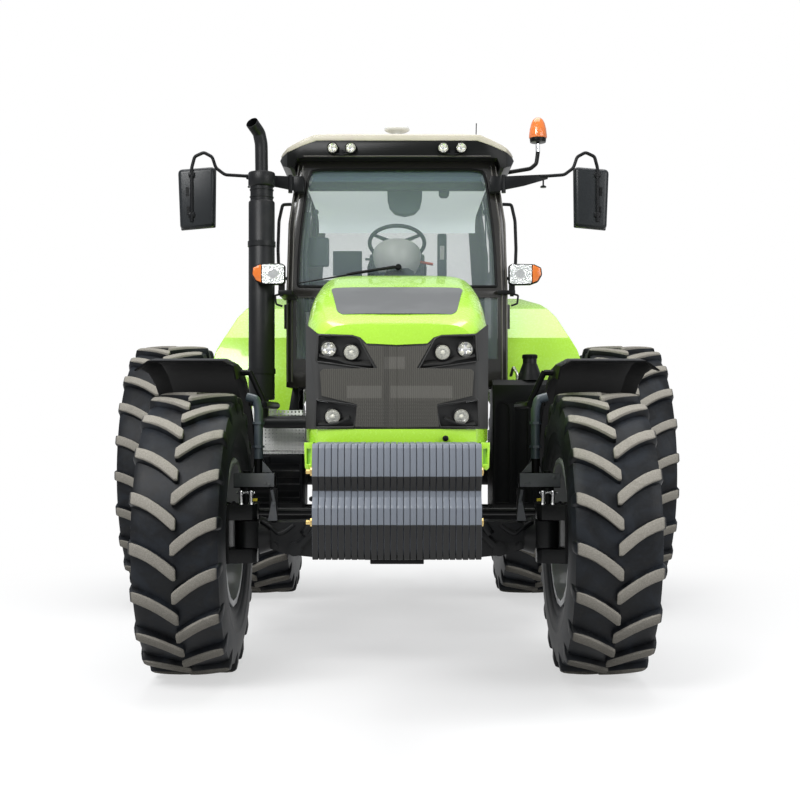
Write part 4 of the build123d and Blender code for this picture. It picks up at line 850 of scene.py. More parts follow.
def pivot(joint: str) -> Point:
    """Place of a joint in millimetres."""
    for entry in frame["record"]["behaviour"]["joints"]:
        if entry["name"] == joint:
            return tuple(value / MM for value in entry["pos_m"])
    raise KeyError(joint)


class Finishes:
    """Every finish of the machine, by the record's material slots and a few of its own."""

    def __init__(self) -> None:
        """Build the materials."""
        kinds = (Sprayed("body_green", (0.43, 0.79, 0.045), 0.27, 0.6, 0.02, 0.03),
            Sprayed("black_metal", (0.006, 0.0065, 0.0075), 0.34, 0, 0.03, 0.06, 0.16),
            CastIron("casting", (0.006, 0.0065, 0.0072), 0.38, 0.5, 0.04, (0.014, 0.015, 0.016), 0.22),
            Weight("weight_grey"), Sprayed("rim_grey", (0.30, 0.31, 0.32), 0.34, 0.2, 0.30), Bright("steel"),
            Sprayed("roof_cream", (0.50, 0.465, 0.375), 0.42, 0.1, 0.06),
            Moulded("black_plastic", (0.0045, 0.0048, 0.0052), 0.36, 0.12, 0.02, 0.16),
            Moulded("slate", (0.098, 0.102, 0.104), 0.62, 0.06, 0.02, 0.10),
            Moulded("grille_brown", (0.026, 0.026, 0.025), 0.36, 0.06, 0.03, 0.40), Gauze("mesh_brown"),
            Lens("lamp_clear", (0.88, 0.90, 0.88), 0.10), Lens("lamp_warm", (0.90, 0.88, 0.72), 0.90),
            Lens("amber", (0.85, 0.20, 0.02), 0.80, 120), Lens("red_lens", (0.55, 0.012, 0.010), 0.85, 120),
            Pane("cab_glass"), Woven("seat_fabric", (0.030, 0.033, 0.038)), Punched("guard_alu"),
            Sprayed("dome_white", (0.78, 0.79, 0.77), 0.35, 0.2, 0.08),
            CastIron("exhaust_black", (0.008, 0.0085, 0.0095), 0.40, 0.22, 0.04, (0.015, 0.016, 0.018), 0.22),
            Bright("chrome", (0.80, 0.80, 0.80), 0.12), Bright("brass", (0.72, 0.52, 0.20), 0.30),
            Sprayed("bar_grey", (0.120, 0.125, 0.135), 0.42, 0, 0.25, 0.06, 0.4),
            Sprayed("tag_yellow", (0.75, 0.60, 0.03), 0.5, 0, 0.05),
            Sprayed("black_gloss", (0.006, 0.0065, 0.0063), 0.30, 0, 0.01, 0.06, 0.14),
            Sprayed("pillar_brown", (0.020, 0.018, 0.016), 0.20, 0.5, 0.03, 0.06, 0.5),
            Sprayed("trim_bronze", (0.085, 0.076, 0.068), 0.22, 0.6, 0.02),
            Moulded("mirror_shell", (0.012, 0.014, 0.016), 0.30, 0.08, 0.03, 0.30),
            Moulded("guard_black", (0.0022, 0.0023, 0.0026), 0.34, 0.05, 0.01, 0.09), GlowingHeadliner("headliner"),
            Moulded("lining_blue", (0.120, 0.160, 0.185), 0.60, 0.10, 0.02, 0.25), Faceted("faceted"),
            Moulded("shell_grey", (0.52, 0.52, 0.50), 0.40, 0.05, 0.03),
            Moulded("dash_blue", (0.030, 0.042, 0.052), 0.45, 0.10, 0.03),
            Moulded("knob_red", (0.60, 0.06, 0.02), 0.35, 0.02, 0.03),
            Sprayed("arm_blue", (0.050, 0.066, 0.085), 0.34, 0.2, 0.15))
        self.all: dict[str, bpy.types.Material] = {kind.name: kind.make() for kind in kinds}
        for word, joint, lug in (("front", "front_wheel_left_spin", 42), ("rear", "rear_wheels_left_spin", 46)):
            centre = pivot(joint)
            rubber = TreadRubber("tyre_" + word, centre[1], centre[2], centre[2], lug)
            self.all[rubber.name] = rubber.make()

    def __getitem__(self, name: str) -> bpy.types.Material:
        """Material by name."""
        return self.all[name]


class Workshop:
    """Finishes pieces, mounts them on their bodies and hides the CAD nodes they stand for."""

    def __init__(self, finishes: Finishes) -> None:
        """Keep the finishes and read which body each node rides on."""
        self.finishes = finishes
        self.dressed: set[str] = set()
        self.bodies: dict[str, str] = {}
        for body, nodes in frame["record"]["behaviour"]["bodies"].items():
            for node in nodes:
                self.bodies[node] = body

    def node_slot(self, node: str) -> str:
        """Material slot that the record gives a node."""
        slots = frame["nodes"][node].material_slots
        return slots[0].material.name.split(".")[0] if slots and slots[0].material else "black_metal"

    def hand(self, piece: Piece | list[Piece], name: str, finish: str, replaces: Sequence[str] = (),
            angle: float = 32, body: str = "chassis") -> Piece:
        """Name, dress and mount a finished piece.

        Args:
            piece: the modelled piece, or the pieces that make it up.
            name: its name.
            finish: name of its finish.
            replaces: CAD nodes that it stands for.
            angle: edges sharper than this stay crisp in the shading.
            body: CAD body that it rides on.
        Returns:
            The piece.
        """
        piece = Bench.whole(piece)
        Bench.smooth(piece, angle)
        piece.name = name
        piece.data.materials.clear()
        piece.data.materials.append(self.finishes[finish])
        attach(piece, body)
        if replaces:
            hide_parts(*replaces)
            self.dressed.update(replaces)
        LOG.info("%s: %d faces on %s", name, len(piece.data.polygons), body)
        return piece

    def dress(self, node: str, finish: str, width: float = 3, segments: int = 2, angle: float = 28) -> Piece:
        """Softened copy of a CAD node in its finish, standing for the node."""
        piece = Bench.cast(node, width, segments, angle)
        return self.hand(piece, node + "_dressed", finish, (node,), body=self.bodies[node])

    def carry_over(self, finish_of: Callable[[str], str]) -> None:
        """Give the CAD nodes that still show their finish."""
        for node, item in frame["nodes"].items():
            if node in self.dressed:
                continue
            for entry in item.material_slots:
                entry.material = self.finishes[finish_of(node)]


# ------------------------------------------------------------------ wheels
@dataclass
class Tyre:
    """Lugged tyre; its half width, radius and centre are set by the wheels before it is built."""

    word: str
    lugs: int
    lug: float
    seat: float
    steps: int = 76
    half: float = 0
    radius: float = 0
    centre: Point = (0, 0, 0)

    def profile(self, share: float) -> Pair:
        """Carcass surface between the lugs: x and radius at a share of the half width."""
        root = self.radius - self.lug
        edge = max(0, share - 0.82) / 0.18
        drop = 6 * share ** 2 + 26 * edge * edge
        return share * self.half, root + 2 - drop

    def carcass(self) -> Piece:
        """Hollow ring with tread floor, shoulders, sidewalls and beads."""
        half, root, seat = self.half, self.radius - self.lug, self.seat
        tall = root - seat
        outer = [self.profile(share) for share in (0, 0.35, 0.65, 0.84, 0.93)]
        wall = ((0.955, 0.885), (0.985, 0.79), (0.998, 0.66), (1, 0.56), (0.996, 0.50), (1, 0.485),
            (0.992, 0.47), (0.975, 0.37), (0.94, 0.25), (0.925, 0.235), (0.915, 0.20), (0.86, 0.10),
            (0.80, 0.045), (0.80, 0))
        side = outer + [(x * half, seat + rise * tall) for x, rise in wall]
        inside = [(0.62, 0), (0.66, 0.10), (0.86, 0.35), (0.90, 0.60), (0.84, 0.82), (0.5, 0.92), (0, 0.93)]
        lining = [(x * half, seat + rise * tall) for x, rise in inside]
        right = side + lining
        left = [(-x, radius) for x, radius in reversed(right)][1:-1]
        return Bench.spun(right + left, self.centre, Turn.X, self.steps, closed=True)

    def bar(self) -> Piece:
        """One lug on the +x side at the foot of the wheel, curved back from nose to shoulder."""
        pitch = 2 * math.pi * (self.radius - self.lug) / self.lugs
        # share of half width, base radius below tip, tip radius below crown, middle and width in pitches
        stations = ((-0.055, 48, 0, -0.335, 0.20), (0.02, 48, 0, -0.300, 0.27), (0.16, 48, 0.3, -0.190, 0.265),
            (0.34, 49, 1, -0.060, 0.250), (0.54, 51, 2.5, 0.060, 0.243), (0.72, 53, 5, 0.140, 0.240),
            (0.86, 57, 9, 0.185, 0.240), (0.945, 66, 17, 0.205, 0.235), (0.985, 104, 52, 0.215, 0.20),
            (0.993, 150, 104, 0.22, 0.14))
        rows = []
        for share, foot, tip, middle, width in stations:
            row = []
            draft = 0.045
            corners = ((foot, -0.5 - draft / width), (tip, -0.5), (tip, 0.5), (foot, 0.5 + draft / width))
            for depth, edge in corners:
                inward = 5 if depth == foot and share > 0.9 else 0
                angle = -math.pi / 2 - (middle + edge * width) * pitch / (self.radius - self.lug)
                radius = self.radius - depth
                x = share * self.half - inward
                row.append((x, radius * math.cos(angle), radius * math.sin(angle)))
            rows.append(row)
        piece = Bench.sheet(rows, closed=True)
        return Bench.bevel(piece, 5, 2, 25)

    def lug_ring(self) -> Piece:
        """All the lugs of one tyre, the two sides half a pitch apart."""
        moves = []
        step = 2 * math.pi / self.lugs
        place = Matrix.Translation(self.centre)
        for index in range(self.lugs):
            for sign, stagger in ((1, 0), (-1, 0.5)):
                turned = Matrix.Rotation(step * (index + stagger), 4, "X")
                moves.append(place @ turned @ Matrix.Scale(sign, 4, (1, 0, 0)))
        return Bench.copies(self.bar(), moves)

    def build(self) -> Piece:
        """Carcass and lugs of one tyre."""
        return Bench.join([self.carcass(), self.lug_ring()])


@dataclass
class Wheels:
    """Tyres, rims, hubs and nuts on their four bodies."""

    shop: Workshop
    front_width: float = 430
    rear_width: float = 528
    nut_count: int = 10
    front_nuts: tuple = (1120, 122, 11)
    rear_nuts: tuple = (80, 112, 12)
    front: Tyre = field(default_factory=lambda: Tyre("front", 19, 42, 356, 76))
    rear: Tyre = field(default_factory=lambda: Tyre("rear", 23, 46, 483, 92))

    def nuts(self, centre: Point, x: float, circle: float, count: int, size: float, sign: float) -> Piece:
        """Ring of hexagon nuts with studs on a flange face."""
        nut = Bench.spun([(0, 0), (0, size), (size * 0.9, size), (size * 1.1, size * 0.86),
            (size * 1.1, size * 0.5), (size * 1.9, size * 0.5), (size * 2, size * 0.4), (size * 2, 0)],
            (0, 0, 0), Turn.X, 6)
        moves = []
        for index in range(count):
            turned = Matrix.Rotation(2 * math.pi * index / count, 4, "X")
            out = Matrix.Translation((0, 0, circle))
            shift = Matrix.Translation((x, centre[1], centre[2]))
            moves.append(shift @ turned @ out @ Matrix.Scale(sign, 4, (1, 0, 0)))
        return Bench.copies(nut, moves)

    def build(self) -> None:
        """Model both axles' wheels."""
        for side in Side:
            word, s = side.word, side.value
            front, rear = pivot("front_wheel_" + word + "_spin"), pivot("rear_wheels_" + word + "_spin")
            tyre = self.front
            tyre.half, tyre.radius, tyre.centre = self.front_width / 2, front[2], front
            self.shop.hand(tyre.build(), "tyre_front_" + word, "tyre_front", ("front_tyre_" + word,), 40,
                body="front_wheel_" + word)
            low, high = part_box("rear_tyres_" + word)
            outer = max(abs(low.x), abs(high.x)) / MM - self.rear_width / 2
            tyre = self.rear
            tyre.half, tyre.radius = self.rear_width / 2, rear[2]
            pair = []
            for x in (abs(rear[0]), outer):
                tyre.centre = (s * x, rear[1], rear[2])
                pair.append(tyre.build())
            self.shop.hand(pair, "tyres_rear_" + word, "tyre_rear", ("rear_tyres_" + word,), 40,
                body="rear_wheels_" + word)
            self.shop.dress("front_rim_" + word, "rim_grey", 4)
            self.shop.dress("rear_rims_" + word, "rim_grey", 5)
            face, circle, size = self.front_nuts
            bolts = self.nuts(front, s * face, circle, self.nut_count, size, s)
            self.shop.hand(bolts, "front_nuts_" + word, "steel", body="front_wheel_" + word)
            proud, circle, size = self.rear_nuts
            bolts = self.nuts(rear, s * (outer + proud), circle, self.nut_count, size, s)
            self.shop.hand(bolts, "rear_nuts_" + word, "steel", body="rear_wheels_" + word)


# ------------------------------------------------------------------ nose
@dataclass
class Nose:
    """Bonnet, surround, mesh, lamps and insert, which tilt together."""

    shop: Workshop
    front: float = -2335
    rear: float = -332
    skin: float = 6
    face: float = 338
    # y, bottom, half width, top
    stations: tuple = ((-2360, 1186, 322, 1692), (-2310, 1186, 337, 1703), (-2215, 1188, 402, 1742),
        (-1950, 1205, 414, 1838), (-1625, 1240, 420, 1938), (-1000, 1320, 420, 2062), (-332, 1400, 420, 2149))
    # in from the side, down from the top
    shoulder: tuple = ((0, 150), (2, 118), (8, 84), (18, 58), (32, 36), (52, 19), (78, 8), (110, 3), (160, 0.5),
        (230, -1))
    chin: tuple = ((412, 1712), (340, 1661), (191, 1655), (156, 1643), (131, 1618), (0, 1611))

    def at(self, y: float) -> tuple[float, float, float]:
        """Bottom, half width and top at a place along the bonnet."""
        rows = self.stations
        for first, second in zip(rows, rows[1:]):
            if y <= second[0] or second is rows[-1]:
                share = (y - first[0]) / (second[0] - first[0])
                return tuple(a + (b - a) * share for a, b in zip(first[1:], second[1:]))
        return rows[-1][1:]

    def smooth_at(self, y: float, reach: float = 150) -> tuple[float, float, float]:
        """The same, evened out over a reach before and behind."""
        reach = min(reach, max(4, y + 2315), self.rear - y + 4)
        taps = [self.at(y + reach * step / 3) for step in range(-3, 4)]
        return tuple(sum(values) / len(taps) for values in zip(*taps))

    def body(self, inset: float, start: float, end: float, rows: int = 30) -> Piece:
        """Closed body of the bonnet, drawn in by the inset."""
        lines = []
        for index in range(rows + 1):
            y = start + (end - start) * (index / rows) ** 1.5
            bottom, half, top = self.smooth_at(y)
            right = [(half - inset - across, y, top - inset - down) for across, down in self.shoulder]
            side = [(half - inset, y, bottom - inset), (half - inset, y, bottom + 150)]
            ring = side + right
            ring = ring + [(-x, y_, z) for x, y_, z in reversed(ring)]
            lines.append(ring)
        return Bench.sheet(lines, closed=True)

    def opening(self, gap: float) -> list[Pair]:
        """Outline of the opening in the front, drawn in by a gap."""
        right = [(min(x, 412 - gap), z - gap) for x, z in self.chin]
        ring = [(412 - gap, 1250 + gap)] + right
        return ring + [(-x, z) for x, z in reversed(ring[:-1])]

    def bonnet(self) -> None:
        """Sheet skin with the chin, the opening, the low band and the side louvres."""
        outer = self.body(0, -2352, self.rear)
        plan = [(-470, -2289, 1100), (-330, -2309, 1100), (0, self.front, 1100), (330, -2309, 1100),
            (470, -2289, 1100), (470, -200, 1100), (-470, -200, 1100)]
        Bench.cut(outer, Bench.plate(plan, (0, 0, 1200)), "INTERSECT")
        Bench.bevel(outer, 11, 4, 38)
        Bench.cut(outer, self.body(self.skin, -2303, self.rear + 30))
        hole = [(x, -2222, z) for x, z in self.opening(0)]
        Bench.cut(outer, Bench.plate(hole, (0, -200, 0)))
        slots = []
        for row in range(7):
            z = 1476 + row * 34
            slots.append(Bench.plate([(380, -1890 + row * 10, z), (380, -1480 + row * 22, z + 22),
                (380, -1480 + row * 22, z + 36), (380, -1890 + row * 10, z + 14)], (60, 0, 0)))
        Bench.cut(outer, Bench.both(slots))
        lobe = Bench.panel([(362, 1192), (402, 1192), (398, 1082), (388, 1071), (368, 1078)], -2290, 88)
        Bench.cut(lobe, Bench.block((372, -2300, 1098), (390, -2270, 1164)))
        Bench.bevel(lobe, 3)
        ears = Bench.both(Bench.block((150, -394, 2068), (200, -366, 2140)))
        skin = Bench.join([outer, Bench.both(lobe), ears])
        self.shop.hand(skin, "bonnet_skin", "body_green", ("bonnet",), 40, body="bonnet")
        knob = Bench.spun([(0, 0), (0, 9), (-14, 9), (-16, 13), (-24, 13), (-27, 8), (-27, 0)],
            (208, -2312, 1210), Turn.Y, 20)
        seam = Bench.both(Bench.pipe([(330, -2312, 1190), (402, -2222, 1190)], 2.4))
        self.shop.hand([knob, seam], "bonnet_knob", "black_plastic", body="bonnet")

    def insert(self) -> None:
        """Slate panel set into the top of the bonnet."""
        rows = []
        for index in range(19):
            y = -2176 + (2176 - 1628) * index / 18
            top = self.smooth_at(y)[2] + 4.6
            half = 262 + (322 - 262) * index / 18
            if index < 3:
                half -= (22, 7, 1.5)[index]
            if index > 16:
                half -= (5, 18)[index - 17]
            row = []
            for step in range(17):
                x = half * (step / 8 - 1)
                nose = -9 * (1 - abs(x) / half) if index < 3 else 0
                row.append((x, y + nose, top - 4 * (abs(x) / half) ** 6))
            rows.append(row)
        panel = Bench.sheet(rows)
        Bench.thicken(panel, 4, -1)
        Bench.tidy(panel)
        self.shop.hand(panel, "bonnet_panel", "slate", ("bonnet_insert",), 40, body="bonnet")

    def surround(self) -> None:
        """Dark surround with lamp pockets, ledges and seams."""
        shell = Bench.cast("grille", 5, 3, 30)
        parts = [shell]
        for points in (((345, 1541), (92, 1505), (163, 1638), (188, 1650), (338, 1655)),
                ((352, 1258), (186, 1258), (167, 1346), (178, 1354), (348, 1378))):
            loop = [(x, -2330 + 11 * x / self.face, z) for x, z in points]
            parts.append(Bench.both(Bench.pipe(loop + [loop[0]], 3.2, 14)))
        ledge_front = ((336, 1562), (300, 1552), (255, 1545), (225, 1533), (190, 1526), (112, 1521))
        rows = [[(x, -2326 + 9 * x / self.face, z) for x, z in ledge_front],
            [(x, -2306, z + 7) for x, z in ledge_front], [(x, -2284, z + 20) for x, z in ledge_front]]
        ledge = Bench.thicken(Bench.sheet(rows), 6, -1)
        low = ((338, 1268), (300, 1266), (262, 1270), (230, 1282), (204, 1292))
        rows = [[(x, -2324 + 7 * x / self.face, z) for x, z in low], [(x, -2304, z + 4) for x, z in low],
            [(x, -2284, z + 12) for x, z in low]]
        sill = Bench.thicken(Bench.sheet(rows), 6, -1)
        parts += [Bench.both(ledge), Bench.both(sill)]
        self.shop.hand(parts, "nose_surround", "grille_brown", ("grille",), 35, body="bonnet")

        half = ((0, 1604), (122, 1606), (148, 1622), (86, 1512), (318, 1508), (331, 1496), (324, 1392),
            (172, 1356), (181, 1258), (0, 1256))
        mesh = Bench.plate([(x, -2333.5 + 11 * x / self.face, z) for x, z in half], (0, 5, 0))
        Bench.bevel(mesh, 1.5, 1)
        self.shop.hand(Bench.both(mesh), "nose_mesh", "mesh_brown", body="bonnet")

    def lamps(self) -> None:
        """Round lamps: bezel, bowl, burner and lens."""
        bezels, bowls, lenses, burners = [], [], [], []
        for x, z, eyes in ((295, 1594, 4), (197, 1581, 1), (278, 1304, 1)):
            centre = (x, -2283, z)
            bezels.append(Bench.spun([(0, 38), (-26, 38), (-31, 36.5), (-32, 34.5), (-30, 33), (-24, 32),
                (-22, 31.5), (0, 31.5)], centre, Turn.Y, 48, closed=True))
            bowls.append(Bench.spun([(-23, 32), (-17, 29), (-11, 23), (-6, 15), (-3.5, 7), (-3, 0)], centre,
                Turn.Y, 40))
            lenses.append(Bench.spun([(-24, 32), (-27, 26), (-29, 17), (-30, 8), (-30.3, 0)], centre, Turn.Y,
                40))
            spots = [(0, 0)] if eyes == 1 else [(-13, -13), (13, -13), (-13, 13), (13, 13)]
            for across, up in spots:
                size = 11 if eyes == 1 else 8.5
                burners.append(Bench.spun([(-4, size), (-12, size), (-16, size * 0.8), (-19, size * 0.4),
                    (-20, 0)], (x + across, -2283, z + up), Turn.Y, 20))
        self.shop.hand(Bench.both(bezels), "headlamp_bezels", "black_plastic", ("headlamps",), body="bonnet")
        self.shop.hand(Bench.both(bowls), "headlamp_bowls", "chrome", body="bonnet")
        self.shop.hand(Bench.both(burners), "headlamp_burners", "lamp_warm", (), 60, body="bonnet")
        self.shop.hand(Bench.both(lenses), "headlamp_lenses", "lamp_clear", (), 60, body="bonnet")

    def build(self) -> None:
        """Model the whole nose."""
        self.bonnet()
        self.insert()
        self.surround()
        self.lamps()


@dataclass
class Weights:
    """Hook-on plates with their clamping rods and carrier."""

    shop: Workshop
    count: int = 26
    pitch: float = 25.5
    gap: float = 2.4
    front: float = -2825

    def plate(self) -> Piece:
        """One plate at the right-hand end of the pack."""
        f = self.front
        outline = ((f + 30, 743), (f + 21, 790), (f + 7, 862), (f, 880), (f, 946), (f + 6, 957), (f + 33, 986),
            (f + 33, 1014), (f + 9, 1052), (f, 1068), (f + 2, 1100), (f + 14, 1180), (f + 26, 1196),
            (-2408, 1197), (-2402, 1190), (-2400, 1050.6), (-2699, 1050.6), (-2700.3, 743))
        x = -0.5 * (self.count * self.pitch - 2)
        piece = Bench.plate([(x, y, z) for y, z in outline], (self.pitch - self.gap, 0, 0))
        return Bench.bevel(piece, 2.6, 2, 12)

    def build(self) -> None:
        """Model the pack."""
        moves = []
        for index in range(self.count):
            slack = random.uniform(0, 1.6)
            moves.append(Matrix.Translation((index * self.pitch, slack, -random.uniform(0, 1.2))))
        core = Bench.block((-322, -2785, 760), (322, -2701, 1180))
        pack = Bench.join([Bench.copies(self.plate(), moves), core])
        self.shop.hand(pack, "weight_pack", "weight_grey", ("front_weights",), 30)
        rods = []
        for z in (878, 1081):
            rods.append(Bench.pipe([(-365, -2660, z), (345, -2660, z)], 9, sides=5))
            for x in (-349, 333):
                rods.append(Bench.spun([(0, 0), (0, 15), (2, 16.5), (12, 16.5), (14, 15), (14, 0)],
                    (x, -2660, z), Turn.X, 6))
        self.shop.hand(rods, "weight_rods", "brass")
        plate = Bench.cast("weight_carrier", 4)
        bolt = Bench.spun([(0, 0), (0, 11), (-9, 11), (-11, 8), (-11, 0)], (-340, -2700, 975), Turn.Y, 6)
        self.shop.hand([plate, bolt], "weight_bracket", "black_metal", ("weight_carrier",))


@dataclass
class FrontAxle:
    """Axle beam, knuckles, tie rod, mudguards and what is bolted to them."""

    shop: Workshop
    y: float = -1325
    pin_x: float = 770
    face_gap: float = -75
    cap_z: float = 862
    flange_z: float = 674
    flange_circle: float = 84

    def bolt(self, centre: Point, size: float, turn: Turn = Turn.Y, sign: float = -1) -> Piece:
        """Hexagon head with a washer."""
        section = [(0, 0), (0, size * 1.3), (sign * size * 0.22, size * 1.3), (sign * size * 0.25, size),
            (sign * size * 0.85, size), (sign * size * 0.95, size * 0.84), (sign * size * 0.95, 0)]
        return Bench.spun(section, centre, turn, 6)

    def build(self) -> None:
        """Model the axle."""
        beam = Bench.cast("front_axle", 9, 3, 24)
        face = self.y + self.face_gap
        extras = []
        rib = [(688, face + 14, 776), (640, face - 6, 752), (600, face - 10, 716), (566, face - 12, 728),
            (520, face - 6, 762)]
        extras.append(Bench.pipe(rib, 13, 26, 4))
        extras.append(Bench.pipe([(470, face - 20, 712), (430, face - 16, 775)], 25, sides=5))
        extras.append(Bench.spun([(0, 0), (0, 36), (-30, 36), (-34, 32), (-34, 0)], (515, face + 4, 640),
            Turn.Y, 32))
        extras.append(Bench.spun([(0, 0), (0, 30), (-8, 30), (-10, 27), (-10, 0)], (560, face - 2, 706), Turn.Y,
            24))
        for angle in range(0, 360, 45):
            turn = math.radians(angle)
            extras.append(self.bolt((self.flange_circle * math.cos(turn), self.y - 149,
                self.flange_z + self.flange_circle * math.sin(turn)), 7.5))
        bits = [Bench.both(extras[:4])] + extras[4:]
        self.shop.hand([beam] + bits, "axle_beam", "casting", ("front_axle",), 40)
        for side in Side:
            self.end(side)
        self.shop.dress("tie_rod", "casting", 3)

    def end(self, side: Side) -> None:
        """Knuckle, mudguard and links at one end of the axle."""
        face = self.y + self.face_gap
        word, s = side.word, side.value
        knuckle = Bench.cast("knuckle_" + word, 8, 3, 24)
        heads = [self.bolt((s * (self.pin_x + dx), self.y + dy, self.cap_z), 8, Turn.Z, 1)
            for dx, dy in ((74, -60), (74, 60), (30, 60), (94, 0))]
        self.shop.hand([knuckle] + heads, "knuckle_cast_" + word, "casting", ("knuckle_" + word,), 40,
            body="knuckle_" + word)
        pins = []
        for x in (790, 739):
            pins.append(Bench.spun([(0, 0), (0, 13), (10, 14), (12, 11), (52, 11), (54, 16), (66, 16), (70, 11),
                (74, 0)], (s * x, self.y - 74, self.cap_z), Turn.Z, 20))
        pins.append(Bench.pipe([(s * 812, self.y - 74, 922), (s * 720, self.y - 74, 922)], 5))
        self.shop.hand(pins, "cylinder_pins_" + word, "chrome", body="knuckle_" + word)
        guard = Bench.cast("front_mudguard_" + word, 2.5, 2, 24)
        self.shop.hand(guard, "mudguard_" + word, "guard_black", ("front_mudguard_" + word,), 34,
            body="mudguard_" + word)
        stay = [Bench.pipe([(s * 709, self.y - 1, 1092), (s * 709, self.y - 1, 1350),
            (s * 724, self.y - 1, 1396), (s * 770, self.y - 1, 1409)], 23, 30, 5),
            Bench.spun([(0, 22), (0, 31), (14, 31), (14, 22)], (s * 709, self.y - 1, 1268), Turn.Z, 6,
            closed=True), Bench.spun([(0, 22), (0, 31), (12, 31), (12, 22)], (s * 709, self.y - 1, 1148),
            Turn.Z, 6, closed=True)]
        self.shop.hand(stay, "mudguard_post_" + word, "arm_blue", (), 40, body="mudguard_" + word)
        bar = [Bench.bevel(Bench.block((s * 625, self.y - 42, 950), (s * 830, self.y - 38, 1019)), 1.5),
            Bench.panel([(s * 640, 1022), (s * 740, 1022), (s * 718, 1096), (s * 700, 1096)], self.y - 8, 16)]
        bar += [self.bolt((s * x, self.y - 42, z), 7) for x, z in ((650, 962), (672, 968), (800, 1000))]
        self.shop.hand(bar, "mudguard_bar_" + word, "bar_grey", body="mudguard_" + word)
        links = [Bench.pipe([(s * 634, face + 4, 936), (s * 622, face + 4, 872)], 8),
            Bench.panel([(s * 606, 780), (s * 654, 780), (s * 634, 880), (s * 616, 880)], face, 9),
            self.bolt((s * 624, face, 866), 9)]
        self.shop.hand(links, "axle_link_" + word, "bar_grey")
        tag = Bench.bevel(Bench.block((s * 706, self.y - 86, 880), (s * 728, self.y - 80, 894)), 1)
        self.shop.hand(tag, "tag_" + word, "tag_yellow", body="knuckle_" + word)


